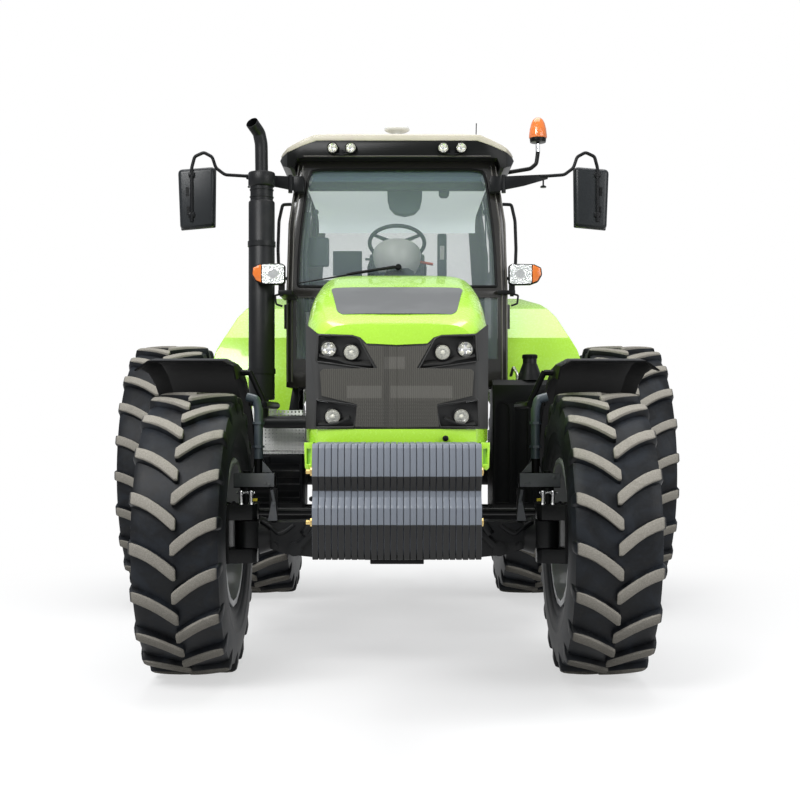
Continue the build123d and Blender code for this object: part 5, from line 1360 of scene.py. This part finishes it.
# ------------------------------------------------------------------ cab
@dataclass
class Cab:
    """Cab shell, glass seals, wiper, rails, lamps, mirrors and everything inside."""

    shop: Workshop
    wheel: Point = (0, 325, 2440)
    tilt: float = 30
    front_low: float = -240
    front_top: float = -180
    waist: float = 2065
    top: float = 2860
    # side, front of the lamp, inner x, bottom z, size against the left lamp
    lamp_places: tuple = ((1, -300, 666, 2098, 1), (-1, -620, 638, 2064, 0.958))

    def front_y(self, z: float) -> float:
        """Depth of the cab's front face at a height."""
        share = max(0, (z - self.waist) / (self.top - self.waist))
        return self.front_low + share * (self.front_top - self.front_low)

    def side_x(self, z: float) -> float:
        """Half width of the cab at a height."""
        if z < self.waist:
            return 667
        if z < 2480:
            return 667 - 10 * (z - self.waist) / (2480 - self.waist)
        return 657 - 57 * (z - 2480) / (self.top - 2480)

    def shell(self) -> None:
        """Frame, doors, seals round the windscreen and corner pieces."""
        frame_piece = Bench.cast("cab_frame", 7, 3, 28)
        parts = [frame_piece]
        arc = [(541, 2726)]
        for step in range(9):
            turn = math.radians(step * 11.25)
            arc.append((454 + 86 * math.cos(turn), 2726 + 86 * math.sin(turn)))
        corner = [(552, 2724)] + arc[1:] + [(454, 2822), (552, 2822)]
        plate = [(x, self.front_y(z) + 3, z) for x, z in corner]
        parts.append(Bench.both(Bench.plate(plate, (0, 16, 0))))
        self.shop.hand(parts, "cab_shell", "pillar_brown", ("cab_frame",), 40)
        half = [(598, 2096), (591, 2300), (575, 2480), (541, 2740), (520, 2800), (460, 2811)]
        loop = half + [(-x, z) for x, z in reversed(half)]
        seal = Bench.pipe([(x, self.front_y(z) - 1, z) for x, z in loop + [loop[0]]], 8, 34, 4)
        self.shop.hand(seal, "windscreen_seal", "black_plastic", (), 50)
        edges = []
        for inset, front in ((7, -3), (34, -2)):
            line = [(self.side_x(z) - inset, self.front_y(z) + front, z)
                for z in (1520, 1800, 2065, 2300, 2480, 2660, 2835)]
            edges.append(Bench.pipe(line, 5, 60, 4))
        self.shop.hand(Bench.both(edges), "pillar_trim", "trim_bronze", (), 50)
        for side in Side:
            word, s = side.word, side.value
            door = Bench.cast("door_" + word, 5, 3, 28)
            self.shop.hand(door, "door_shell_" + word, "pillar_brown", ("door_" + word,), 40,
                body=self.shop.bodies["door_" + word])
            grip = Bench.pipe([(s * 690, -102, 1852), (s * 690.5, -102, 1998)], 3)
            self.shop.hand(grip, "door_grip_" + word, "black_plastic", body=self.shop.bodies["door_" + word])

    def wiper(self) -> None:
        """Wiper arm with its blade and spindle on the windscreen."""
        blade = Bench.plate([(-590, -252, 2112), (-150, -246, 2184), (-150, -246, 2196), (-590, -252, 2119)],
            (0, 9, 0))
        arm = Bench.pipe([(-300, -258, 2166), (-20, -254, 2212), (14, -250, 2208)], 9, 20)
        yoke = Bench.panel([(-210, 2176), (16, 2204), (20, 2222), (-210, 2188)], -262, 10)
        spindle = Bench.spun([(0, 0), (0, 20), (-26, 17), (-32, 12), (-32, 0)], (8, -234, 2213), Turn.Y, 24)
        self.shop.hand([Bench.bevel(blade, 2), arm, Bench.bevel(yoke, 3), spindle], "wiper", "black_plastic")

    def rails(self) -> None:
        """Grab rails beside the front pillars."""
        y = -190
        rail = Bench.pipe([(self.side_x(2600) + 1.5, y, 2600), (694, y, 2598), (716, y, 2500), (722, y, 2330),
            (716, y, 2152), (self.side_x(2150) + 1, y, 2150)], 10, 34, 5)
        self.shop.hand(Bench.both(rail), "rails", "black_metal", ("grab_rails",), 50)

    def side_lamps(self) -> None:
        """Combined lamps on arms from the front pillars: clear inside, amber outside."""
        rim = ((2, 12), (22, 1), (134, 3), (180, 20), (204, 62), (199, 106), (156, 127), (24, 130), (2, 116))
        clear = ((10, 16), (26, 8), (132, 10), (140, 18), (140, 116), (132, 122), (26, 123), (10, 112))
        amber = ((145, 14), (174, 26), (196, 64), (192, 101), (154, 119), (145, 120))
        bodies, bowls, clears, ambers, bulbs = [], [], [], [], []
        for s, front, inner, bottom, size in self.lamp_places:

            def slab(outline: Sequence[Pair], start: float, depth: float, soft: float) -> Piece:
                """Plate of an outline given from the lamp's inner bottom corner."""
                points = [(s * (inner + size * x), front + start, bottom + size * z) for x, z in outline]
                piece = Bench.plate(points, (0, depth, 0))
                return Bench.bevel(piece, soft, 3) if soft else piece

            rear = front + 55
            bodies.append(slab(rim, 12, 43, 8))
            bodies.append(Bench.bevel(Bench.block((s * 600, rear - 30, bottom - 52),
                (s * (inner + 44), self.front_low - 0.5, bottom - 28)), 3))
            bodies.append(Bench.bevel(Bench.block((s * (inner + 6), rear - 29, bottom - 30),
                (s * (inner + 42), rear - 7, bottom + 14)), 3))
            bodies.append(Bench.pipe([(s * (inner + 30), rear - 18, bottom - 50),
                (s * (inner + 62), rear - 18, bottom - 58), (s * (inner + 56), rear - 18, bottom - 108),
                (s * (inner + 20), rear - 18, bottom - 120)], 6, 14))
            bodies.append(Bench.spun([(0, 0), (0, 12), (-12, 12), (-12, 0)],
                (s * (inner + 24), rear - 18, bottom - 52), Turn.Z, 6))
            bowls.append(slab(clear, 11.5, -3, 0))
            clears.append(slab(clear, 8, -7, 3))
            ambers.append(slab(amber, 11.5, -9, 3))
            bulbs.append(Bench.spun([(0, 26), (-2, 30), (-4, 22), (-1, 8), (-4, 0)],
                (s * (inner + size * 74), front + 9, bottom + size * 66), Turn.Y, 32))
        self.shop.hand(bodies, "side_lamp_body", "black_plastic", ("side_lamps",), 40)
        self.shop.hand(bowls, "side_lamp_bowl", "faceted")
        self.shop.hand(clears, "side_lamp_clear", "lamp_clear", (), 40)
        self.shop.hand(ambers, "side_lamp_amber", "amber", (), 40)
        self.shop.hand(bulbs, "side_lamp_bulb", "chrome", (), 50)

    def mirrors(self) -> None:
        """Mirror housings on bent tubes from gusset brackets."""
        arms, shells, slots = [], [], []
        for s, inner, outer, upright in ((1, 1062, 1273, 1200), (-1, 1090, 1316, 1229)):
            root = Bench.plate([(s * 560, -275, 2660), (s * 560, self.front_y(2660), 2660),
                (s * 560, self.front_y(2755), 2755), (s * 560, -275, 2755)], (s * 62, 0, 0))
            gusset = Bench.panel([(s * 600, 2664), (s * 760, 2696), (s * 905, 2738), (s * 905, 2766),
                (s * 600, 2752)], -274, 12)
            pin = Bench.spun([(0, 0), (0, 13), (108, 13), (108, 0)], (s * 640, -268, 2654), Turn.Z, 16)
            tube = Bench.pipe([(s * 860, -268, 2753), (s * (inner - 60), -284, 2760),
                (s * (inner - 6), -288, 2800), (s * (inner + 16), -289, 2866), (s * (inner + 66), -289, 2893),
                (s * (upright - 18), -289, 2868), (s * upright, -289, 2800), (s * upright, -289, 2480)], 10, 30,
                5)
            knob = Bench.spun([(0, 0), (0, 17), (6, 19), (12, 12), (12, 5), (56, 5), (56, 0)],
                (s * 878, -268, 2686), Turn.Z, 20)
            arms += [Bench.bevel(root, 4), Bench.bevel(gusset, 2), pin, tube, knob]
            for z in (2520, 2760):
                arms.append(Bench.bevel(Bench.block((s * upright - 19, -296, z - 15),
                    (s * upright + 19, -282, z + 15)), 4))
            face = [(inner + 4, 2452), (outer - 14, 2434), (outer, 2795), (inner, 2813)]
            shell = Bench.plate([(s * x, -226, z) for x, z in face], (0, -58, 0))
            Bench.bevel(shell, 26, 5, 40)
            rim = Bench.plate([(s * x, -222, z) for x, z in face], (0, -14, 0))
            Bench.bevel(rim, 6, 2, 40)
            shells += [shell, rim]
            middle = (inner + outer) / 2
            for x, z in ((middle + 52, 2660), (middle + 46, 2545)):
                slots.append(Bench.bevel(Bench.panel([(s * (x - 9), z - 26), (s * (x + 9), z - 26),
                    (s * (x + 10), z + 26), (s * (x - 8), z + 26)], -286, 4), 1, 1))
            plate = [(inner + 16, 2466), (outer - 26, 2450), (outer - 14, 2782), (inner + 12, 2797)]
            glass = Bench.plate([(s * x, -221, z) for x, z in plate], (0, -3, 0))
            self.shop.hand(glass, "mirror_glass_" + ("left" if s > 0 else "right"), "chrome")
        self.shop.hand(arms, "mirror_arms", "black_metal", ("mirrors",), 45)
        self.shop.hand(shells, "mirror_shells", "mirror_shell", (), 45)
        self.shop.hand(slots, "mirror_slots", "black_plastic")

    def steering(self) -> None:
        """Steering wheel, column, binnacle and levers."""
        tilt = Matrix.Translation(self.wheel) @ Matrix.Rotation(math.radians(-self.tilt), 4, "X")
        ring = [(13 * math.sin(math.radians(a)), 178 + 13 * math.cos(math.radians(a)))
            for a in range(0, 360, 30)]
        rim = Bench.copies(Bench.spun(ring, (0, 0, 0), Turn.Z, 48, closed=True), (tilt,))
        hub = Bench.copies(Bench.spun([(-60, 15), (-60, 30), (-20, 34), (4, 46), (8, 40), (8, 0)], (0, 0, 0),
            Turn.Z, 32), (tilt,))
        spokes = []
        for angle in (90, 210, 330):
            turn = math.radians(angle)
            spoke = Bench.plate([(30, -17, -12), (172, -11, -6), (172, 11, -6), (30, 17, -12)], (0, 0, 11))
            spokes.append(Bench.copies(Bench.bevel(spoke, 3), (tilt @ Matrix.Rotation(turn, 4, "Z"),)))
        self.shop.hand([rim, hub] + spokes, "steering_rim", "dash_blue", ("steering_wheel",), 50,
            body=self.shop.bodies["steering_wheel"])
        column = Bench.cast("steering_column", 10, 3, 30)
        self.shop.hand(column, "column", "dash_blue", ("steering_column",), 45)
        bowl = Bench.spun([(-262, 60), (-240, 96), (-200, 130), (-150, 149), (-100, 156), (-80, 152),
            (-76, 120), (-74, 16)], (0, 0, 0), Turn.Z, 40)
        self.shop.hand(Bench.copies(bowl, (tilt,)), "column_bowl", "shell_grey", (), 60)
        binnacle = Bench.bevel(Bench.panel([(-100, 2150), (110, 2150), (104, 2212), (70, 2230), (-60, 2228)],
            -60, 60), 6, 2)
        self.shop.hand(binnacle, "dash_cover", "black_plastic")
        red = Bench.pipe([(60, 300, 2330), (232, 270, 2296)], 9)
        dark = Bench.pipe([(-60, 300, 2330), (-205, 280, 2330)], 8)
        self.shop.hand(red, "lever_red", "knob_red", (), 50)
        self.shop.hand(dark, "lever_dark", "dash_blue", (), 50)

    def lining(self) -> None:
        """Dark lining behind the windscreen's head and the pale headliner with its painted glow."""
        lining = []
        deck = Bench.panel([(-560, 2738), (560, 2738), (520, 2822), (-520, 2822)], 60, 70)
        lining.append(Bench.bevel(deck, 14, 3))
        drop = [(-62, 2750), (-60, 2690), (-48, 2640), (-14, 2602), (49, 2588), (112, 2602), (146, 2640),
            (158, 2690), (160, 2750)]
        lining.append(Bench.bevel(Bench.panel(drop, 120, 90), 10, 2))
        tab = [(264, 2752), (266, 2716), (280, 2702), (316, 2702), (330, 2716), (332, 2752)]
        lining.append(Bench.bevel(Bench.panel(tab, 120, 50), 4, 2))
        self.shop.hand(lining, "roof_lining", "lining_blue", (), 45)
        rows = [[(x, y, z) for x in (-560, -540, -300, 0, 300, 540, 560)]
            for y, z in ((126, 2742), (400, 2744), (800, 2744), (1040, 2740), (1120, 2720), (1150, 2680),
            (1152, 2636))]
        liner = Bench.thicken(Bench.sheet(rows), 8, 1)
        # the headliner's finish carries a painted glow
        self.shop.hand(liner, "headliner", "headliner", (), 50)

    def controls(self) -> None:
        """Console, post, screens and small controls."""
        console = Bench.cast("control_console", 8, 3, 30)
        self.shop.hand(console, "console", "dash_blue", ("control_console",), 45)
        post = Bench.bevel(Bench.block((262, 300, 1900), (322, 350, 2500)), 12, 3)
        frames = [post, Bench.pipe([(-548, -150, 1950), (-560, -140, 2300), (-540, -130, 2560)], 16, 60),
            Bench.bevel(Bench.block((-560, -60, 2240), (-420, -20, 2420)), 14, 3),
            Bench.bevel(Bench.block((-540, -40, 2020), (-380, 60, 2160)), 18, 3),
            Bench.pipe([(-380, 40, 2120), (-300, 120, 2190), (-180, 160, 2170)], 14, 40),
            Bench.bevel(Bench.block((-300, 60, 2130), (-150, 150, 2168)), 10, 2)]
        for x, y, z in ((-500, -60, 2575), (545, -60, 2575)):
            frames.append(Bench.spun([(-4, 0), (-4, 17), (4, 17), (4, 0)], (x, y, z), Turn.Y, 24))
            frames.append(Bench.pipe([(x, y, z - 10), (x + 4, y, z - 200)], 4))
        self.shop.hand(frames, "cab_controls", "dash_blue", (), 45)
        label = Bench.bevel(Bench.block((278, 296, 2330), (306, 301, 2420)), 1)
        self.shop.hand(label, "post_insert", "shell_grey")
        stops = [Bench.spun([(0, 0), (0, 10), (14, 12), (20, 8), (20, 0)], (x, y, 2168), Turn.Z, 16)
            for x, y in ((-250, 90), (-215, 110), (-180, 100))]
        self.shop.hand(stops, "console_knobs", "knob_red", (), 50)
        self.shop.dress("seat_base", "dash_blue", 8, 3)

    def build(self) -> None:
        """Model the cab."""
        self.shell()
        self.wiper()
        self.rails()
        self.side_lamps()
        self.mirrors()
        self.steering()
        self.lining()
        self.controls()


@dataclass
class Seat:
    """Driver's seat: two stuffed pads with sewn channels and piping on a moulded back."""

    shop: Workshop
    voxel: float = 9
    pressure: float = 4
    frames: int = 20
    cap: float = 24
    rest_z: float = 1861
    stitch: float = 9

    def stuffed(self, pad: Piece) -> Piece:
        """Blow a pad up as cloth over its stuffing.

        Args:
            pad: closed pad, a little smaller than its space.
        Returns:
            The pad, with each point moved by no more than the cap.
        """
        Bench.pick(pad)
        remesh = pad.modifiers.new("even", "REMESH")
        remesh.mode, remesh.voxel_size = "VOXEL", self.voxel * MM
        bpy.ops.object.modifier_apply(modifier="even")
        cloth = pad.modifiers.new("cloth", "CLOTH")
        cloth.settings.use_pressure = True
        cloth.settings.uniform_pressure_force = self.pressure
        cloth.settings.effector_weights.gravity = 0
        cloth.point_cache.frame_start, cloth.point_cache.frame_end = 1, self.frames
        start = [vertex.co.copy() for vertex in pad.data.vertices]
        for step in range(1, self.frames + 1):
            bpy.context.scene.frame_set(step)
        puffed = pad.evaluated_get(bpy.context.evaluated_depsgraph_get()).data
        ends = [vertex.co.copy() for vertex in puffed.vertices]
        pad.modifiers.remove(cloth)
        bpy.context.scene.frame_set(1)
        for vertex, first, last in zip(pad.data.vertices, start, ends):
            move = last - first
            if move.length > self.cap * MM:
                move = move.normalized() * self.cap * MM
            vertex.co = first + move
        return Bench.subdivide(pad)

    def channel(self, pad: Piece, axis: int, places: Sequence[float], face: int, deep: float = 7) -> None:
        """Sew channels across a pad.

        Args:
            pad: the pad.
            axis: axis along which the channels follow each other.
            places: their places on it.
            face: axis that the sewn face looks along.
            deep: depth of the channels.
        """
        for vertex in pad.data.vertices:
            for place in places:
                away = (vertex.co[axis] / MM - place) / self.stitch
                vertex.co[face] -= (1 if face == 2 else -1) * deep * MM * math.exp(-away * away)

    def build(self) -> None:
        """Model the seat."""
        cushion = Bench.bevel(Bench.block((-232, 712, 1872), (232, 1130, 1940)), 26, 4)
        self.stuffed(cushion)
        self.channel(cushion, 0, (-118, 118), 2)
        for vertex in cushion.data.vertices:
            vertex.co.z = max(vertex.co.z, self.rest_z * MM)
        self.shop.hand(cushion, "seat_cushion", "seat_fabric", ("seat",), 60)
        section = [(1142, 1968), (1138, 2180), (1134, 2420), (1158, 2505), (1190, 2505), (1196, 2400),
            (1200, 1968)]
        back = Bench.bevel(Bench.plate([(-216, y, z) for y, z in section], (432, 0, 0)), 22, 4)
        self.stuffed(back)
        self.channel(back, 2, (2110, 2230, 2350), 1)
        self.shop.hand(back, "seat_back", "seat_fabric", (), 60)
        edge = [(-240, 706, 1906), (240, 706, 1906), (240, 1130, 1906), (-240, 1130, 1906)]
        piping = Bench.pipe(edge + edge[:1], 4, 40)
        shell = Bench.bevel(Bench.panel([(-205, 1905), (205, 1905), (215, 2400), (180, 2500), (-180, 2500),
            (-215, 2400)], 1206, 20), 8, 3)
        hinge = Bench.bevel(Bench.block((-180, 1120, 1866), (180, 1208, 1950)), 10, 3)
        self.shop.hand([piping, shell, hinge], "seat_frame", "black_plastic", (), 45)


@dataclass
class Roof:
    """Cream cap, dark base, work lamps, dome, aerial and beacon."""

    shop: Workshop
    beacon: Point = (898, 175, 3085)
    lamp_z: float = 2914
    lamp_rows: tuple = ((-300.3, -1), (1420.3, 1))

    def lamp_set(self, y: float, sign: float) -> None:
        """Four round lamps on one end of the roof."""
        shells, bowls, eyes, lenses = [], [], [], []
        for x in (276, 384):
            centre = (x, y, self.lamp_z)
            shells.append(Bench.spun([(0, 30), (sign * 6, 34), (sign * 24, 34), (sign * 28, 32),
                (sign * 25, 29), (sign * 4, 27)], centre, Turn.Y, 40, closed=True))
            bowls.append(Bench.spun([(sign * 22, 30), (sign * 14, 26), (sign * 8, 16), (sign * 6, 0)], centre,
                Turn.Y, 32))
            lenses.append(Bench.spun([(sign * 23, 30), (sign * 26, 18), (sign * 27, 0)], centre, Turn.Y, 32))
            for dx, dz in ((-11, -11), (11, -11), (-11, 11), (11, 11)):
                eyes.append(Bench.spun([(sign * 7, 8), (sign * 14, 8), (sign * 19, 4), (sign * 20, 0)],
                    (x + dx, y, self.lamp_z + dz), Turn.Y, 14))
        foot = Bench.block((318, y, 2868), (344, y + sign * 14, 2900))
        arm = Bench.pipe([(276, y + sign * 8, 2884), (330, y + sign * 8, 2874), (384, y + sign * 8, 2884)], 6,
            10)
        word = "front" if sign < 0 else "rear"
        self.shop.hand(Bench.both(shells + [foot, arm]), "work_lamp_shells_" + word, "black_plastic",
            ("work_lamps",) if sign < 0 else (), 45)
        self.shop.hand(Bench.both(bowls), "work_lamp_bowls_" + word, "chrome", (), 50)
        self.shop.hand(Bench.both(eyes), "work_lamp_eyes_" + word, "lamp_warm", (), 60)
        self.shop.hand(Bench.both(lenses), "work_lamp_lenses_" + word, "lamp_clear", (), 60)

    def build(self) -> None:
        """Model the roof."""
        cap = Bench.cast("cab_roof", 7, 3, 22)
        self.shop.hand(cap, "roof_cap", "roof_cream", ("cab_roof",), 45)
        base = Bench.cast("roof_base", 7, 3, 24)
        x, y, z = self.beacon
        bend = Bench.pipe([(700, y, 2868), (850, y, 2893), (888, y, 2925), (x, y, 3000)], 13, 34, 5)
        cup = Bench.spun([(-25, 18), (-22, 44), (-14, 51.5), (-2, 52), (-2, 0)], (x, y, z), Turn.Z, 32)
        self.shop.hand([base, bend, cup], "roof_tray", "black_gloss", ("roof_base",), 42)
        sleeve = Bench.spun([(0, 12.5), (2, 14), (52, 14), (54, 12.5)], (x - 1, y, 2998), Turn.Z, 24,
            closed=True)
        self.shop.hand(sleeve, "beacon_stem", "chrome")
        lens = Bench.spun([(0.5, 0), (0.5, 55), (6, 57.5), (26, 56), (60, 52), (96, 43), (118, 32), (130, 18),
            (135, 0)], (x, y, z), Turn.Z, 40)
        self.shop.hand(lens, "beacon_lens", "amber", ("beacon",), 60)
        core = Bench.spun([(4, 0), (4, 24), (44, 26), (50, 16), (100, 14), (108, 0)], (x, y, z), Turn.Z, 24)
        self.shop.hand(core, "beacon_core", "lamp_warm", (), 50)
        dome = Bench.spun([(-27, 26), (-20, 28), (-4, 34), (4, 60), (14, 79), (22, 80), (36, 72), (46, 40),
            (50, 0)], (0, 150, 3116.5), Turn.Z, 48)
        self.shop.hand(dome, "dome", "dome_white", ("roof_dome",), 60)
        aerial = [Bench.pipe([(500, 150, 2997), (501, 150, 3060), (504, 150, 3176)], 3.2),
            Bench.spun([(0, 0), (0, 12), (8, 11), (20, 6), (20, 0)], (500, 150, 2995), Turn.Z, 20)]
        self.shop.hand(aerial, "aerial", "black_plastic", (), 50)
        for y, sign in self.lamp_rows:
            self.lamp_set(y, sign)
        lip = Bench.pipe([(-560, -300.5, 2868), (0, -301, 2868), (560, -300.5, 2868)], 3)
        self.shop.hand(lip, "visor_lip", "trim_bronze", (), 50)


@dataclass
class Flanks:
    """Exhaust, tank, boxes, steps and fenders along the two sides."""

    shop: Workshop
    filler: Pair = (800, -238)

    def exhaust(self) -> None:
        """Muffler with clamps and a bent tail pipe with an open oval mouth."""
        x, y = -789, -475
        pot = Bench.spun([(0, 0), (0, 70), (6, 76), (1150, 76), (1156, 72), (1160, 66), (1176, 66), (1178, 70),
            (1184, 70), (1186, 66), (1218, 66), (1220, 70), (1226, 70), (1228, 66), (1240, 66), (1244, 74),
            (1250, 78), (1318, 78), (1324, 74), (1326, 44), (1326, 0)], (x, y, 1408), Turn.Z, 56)
        route = [(x, y, 2720), (x - 2, y, 2900), (x - 14, y - 14, 2962), (x - 48, y - 76, 3006)]
        tail = Bench.pipe(route, 37.5, 60, 8)
        hollow = Bench.pipe([(x - 22, y - 28, 2975), (x - 66, y - 109, 3030)], 34, 0, 8)
        Bench.cut(tail, hollow)
        lower = Bench.pipe([(x, -440, 1420), (x, -440, 1280), (-281, -440, 1280)], 38, 60, 6)
        straps = [Bench.spun([(0, 77), (0, 81), (30, 81), (30, 77)], (x, y, z), Turn.Z, 56, closed=True)
            for z in (1560, 2300)]
        self.shop.hand([pot, tail, lower] + straps, "exhaust_stack", "exhaust_black", ("exhaust",), 42)

    def tank(self) -> None:
        """Fluted tank with filler, cap and breather hose; guard, boxes and steps."""
        tank = Bench.cast("fuel_tank", 9, 3, 28)
        cap = [(0, 0), (0, 41), (30, 41), (32, 44), (52, 44), (56, 40), (56, 0)]
        top = Bench.spun(cap, (*self.filler, 1629.5), Turn.Z, 40)
        rib = Bench.block((40, -2.4, 1662), (46.5, 2.4, 1681))
        ribs = Bench.copies(rib, [Matrix.Translation((*self.filler, 0))
            @ Matrix.Rotation(math.radians(15 * i), 4, "Z") for i in range(24)])
        neck = Bench.spun([(0, 84), (20, 76), (60, 56), (98, 43)], (*self.filler, 1531), Turn.Z, 40)
        self.shop.hand([tank, top, ribs, neck], "tank", "black_plastic", ("fuel_tank",), 40)
        hose = [Bench.pipe([(728, -262, 1500), (722, -262, 1570), (700, -250, 1610), (690, -200, 1560)], 9, 26,
            4)]
        for index in range(8):
            hose.append(Bench.spun([(0, 9), (2.5, 11.5), (5, 9)], (727 - index * 0.7, -262, 1505 + index * 8),
                Turn.Z, 20, closed=True))
        self.shop.hand(hose, "breather", "steel", (), 50)
        self.shop.dress("perforated_guard", "guard_alu", 3, 2)
        frame_bits = [Bench.block((-848, -324, 1105), (-546, -320.5, 1112)),
            Bench.block((-848, -324, 1258), (-546, -320.5, 1265))]
        self.shop.hand(frame_bits, "guard_edges", "steel")
        box = Bench.cast("side_box", 6, 2, 28)
        latch = [Bench.bevel(Bench.block((-800, -338, 1040), (-760, -330.5, 1076)), 2),
            Bench.pipe([(-885, -336, 800), (-575, -336, 800)], 5)]
        self.shop.hand([box] + latch, "tool_box", "black_metal", ("side_box",), 40)
        lines = []
        for x, z in ((-292, 900), (-292, 922), (-292, 944)):
            lines.append(Bench.pipe([(x, -1180, z - 30), (x + 4, -900, z), (x, -500, z),
                (x + 60, -200, z + 40)], 9, 80))
        self.shop.hand(Bench.both(lines), "hydraulic_lines", "black_plastic", (), 50)
        self.shop.dress("steps", "black_metal", 3)

    def fenders(self) -> None:
        """Rear fenders with rolled edges, lamps and reflectors."""
        fender = Bench.cast("rear_fenders", 9, 4, 20)
        self.shop.hand(fender, "fender_skins", "body_green", ("rear_fenders",), 48)
        lens = Bench.cast("rear_lamps", 5, 2)
        self.shop.hand(lens, "rear_lamp_lenses", "red_lens", ("rear_lamps",), 40)
        rims = []
        for s in (1, -1):
            for z in (1652, 1780):
                rims.append(Bench.block((s * 752, 2440.5, z), (s * 1008, 2470, z + 8)))
            rims.append(Bench.block((s * 880 - 4, 2440.5, 1660), (s * 880 + 4, 2474, 1780)))
        self.shop.hand(rims, "rear_lamp_frames", "black_plastic")

    def build(self) -> None:
        """Model both flanks."""
        self.exhaust()
        self.tank()
        self.fenders()


# ------------------------------------------------------------------ studio
@dataclass
class Studio:
    """Pale floor, soft lamps and the camera."""

    distance: float = 7486
    eye: float = 1283
    lens: float = 54.11
    sensor: float = 36
    shift: Pair = (0.00375, 0.02675)
    floor_radius: float = 60

    def floor(self) -> None:
        """Pale floor that fades into the white surround."""
        Bench.free()
        bpy.ops.mesh.primitive_circle_add(vertices=96, radius=self.floor_radius, fill_type="NGON",
            location=(0, 0, 0))
        ground = bpy.context.object
        ground.name = "floor"
        for vertex in ground.data.vertices:
            vertex.co.z = -0.0005
        book = Book("floor_white")
        x, y, _ = book.axes((0, -300, 0))
        away = (x * x + y * y * 0.8) ** 0.5
        cloud = book.noise(1.5, 3)
        tone = book.mix(cloud * 0.3, (0.86, 0.86, 0.86), (0.83, 0.83, 0.83))
        matt = book.node("ShaderNodeBsdfPrincipled", None, {"Base Color": tone, "Roughness": 0.8})
        glow = book.node("ShaderNodeEmission", None, {"Color": (1, 1, 1, 1), "Strength": 1})
        ray = book.node("ShaderNodeLightPath").outputs
        seen = Wire(book, ray["Is Camera Ray"]).most(Wire(book, ray["Is Glossy Ray"])).most(Wire(book,
            ray["Is Transmission Ray"]))
        share = away.step(1.8, 4.6) * 0.42 + 0.58
        blend = book.node("ShaderNodeMixShader", None, {0: share, 1: matt.outputs[0], 2: glow.outputs[0]})
        dull = book.node("ShaderNodeBsdfPrincipled", None, {"Base Color": book.mix(cloud, (0.30, 0.30, 0.30),
            (0.26, 0.26, 0.26)), "Roughness": 0.9})
        shown = book.node("ShaderNodeMixShader", None, {0: seen, 1: dull.outputs[0], 2: blend.outputs[0]})
        book.node("ShaderNodeOutputMaterial", None, {0: shown.outputs[0]})
        ground.data.materials.append(book.material)

    def sky(self) -> None:
        """Even light from all round, white where it is seen or mirrored."""
        world = bpy.data.worlds.new("studio_air")
        bpy.context.scene.world = world
        world.use_nodes = True
        tree = world.node_tree
        tree.nodes.clear()
        ray = tree.nodes.new("ShaderNodeLightPath").outputs
        either = tree.nodes.new("ShaderNodeMath")
        either.operation = "MAXIMUM"
        tree.links.new(ray["Is Camera Ray"], either.inputs[0])
        tree.links.new(ray["Is Transmission Ray"], either.inputs[1])
        mix = tree.nodes.new("ShaderNodeMixShader")
        tree.links.new(either.outputs[0], mix.inputs[0])
        for slot, colour, power in ((1, (0.93, 0.96, 1, 1), 0.50), (2, (1, 1, 1, 1), 1)):
            air = tree.nodes.new("ShaderNodeBackground")
            air.inputs[0].default_value = colour
            air.inputs[1].default_value = power
            tree.links.new(air.outputs[0], mix.inputs[slot])
        out = tree.nodes.new("ShaderNodeOutputWorld")
        tree.links.new(mix.outputs[0], out.inputs[0])

    def lamp(self, name: str, place: Point, aim: Point, size: Pair, power: float) -> None:
        """One soft rectangular lamp aimed at a point, in metres."""
        data = bpy.data.lights.new(name, "AREA")
        data.shape = "RECTANGLE"
        data.size, data.size_y = size
        data.energy = power
        item = bpy.data.objects.new(name, data)
        bpy.context.scene.collection.objects.link(item)
        item.location = place
        item.rotation_euler = (Vector(aim) - Vector(place)).to_track_quat("-Z", "Y").to_euler()

    def camera(self) -> None:
        """Level camera ahead of the nose."""
        data = bpy.data.cameras.new("camera")
        data.lens = self.lens
        data.sensor_width = self.sensor
        data.shift_x, data.shift_y = self.shift
        item = bpy.data.objects.new("camera", data)
        bpy.context.scene.collection.objects.link(item)
        item.location = Vector((0, -self.distance, self.eye)) * MM
        item.rotation_euler = (math.radians(90), 0, 0)
        bpy.context.scene.camera = item

    def build(self) -> None:
        """Set the stage."""
        bpy.context.scene.view_settings.view_transform = "Standard"
        self.floor()
        self.sky()
        self.lamp("key", (-3.5, -6.5, 6.5), (0, -0.8, 1.2), (4, 3), 560)
        self.lamp("fill", (5, -5, 4), (0, -0.5, 1.2), (4, 4), 200)
        self.lamp("top", (0, 0.5, 8), (0, 0, 1), (6, 6), 460)
        self.camera()


FINISH_OF_NODE = {"front_mudguard_left": "guard_black", "front_mudguard_right": "guard_black"}


def main() -> None:
    """Build every sub-assembly in order."""
    logging.basicConfig(level=logging.INFO, format="%(name)s %(message)s")
    random.seed(SEED)
    Studio().build()
    finishes = Finishes()
    shop = Workshop(finishes)
    for part in (Wheels, Nose, Weights, FrontAxle, Cab, Seat, Roof, Flanks):
        part(shop).build()

    for node in sorted(frame["nodes"]):
        if node in shop.dressed:
            continue
        finish = FINISH_OF_NODE.get(node, shop.node_slot(node))
        finish = finish if finish in finishes.all else "black_metal"
        if "glass" in node or node == "cab_windows":
            continue
        shop.dress(node, finish)
    shop.carry_over(lambda node: FINISH_OF_NODE.get(node, shop.node_slot(node)))


if __name__ == "__main__":
    main()
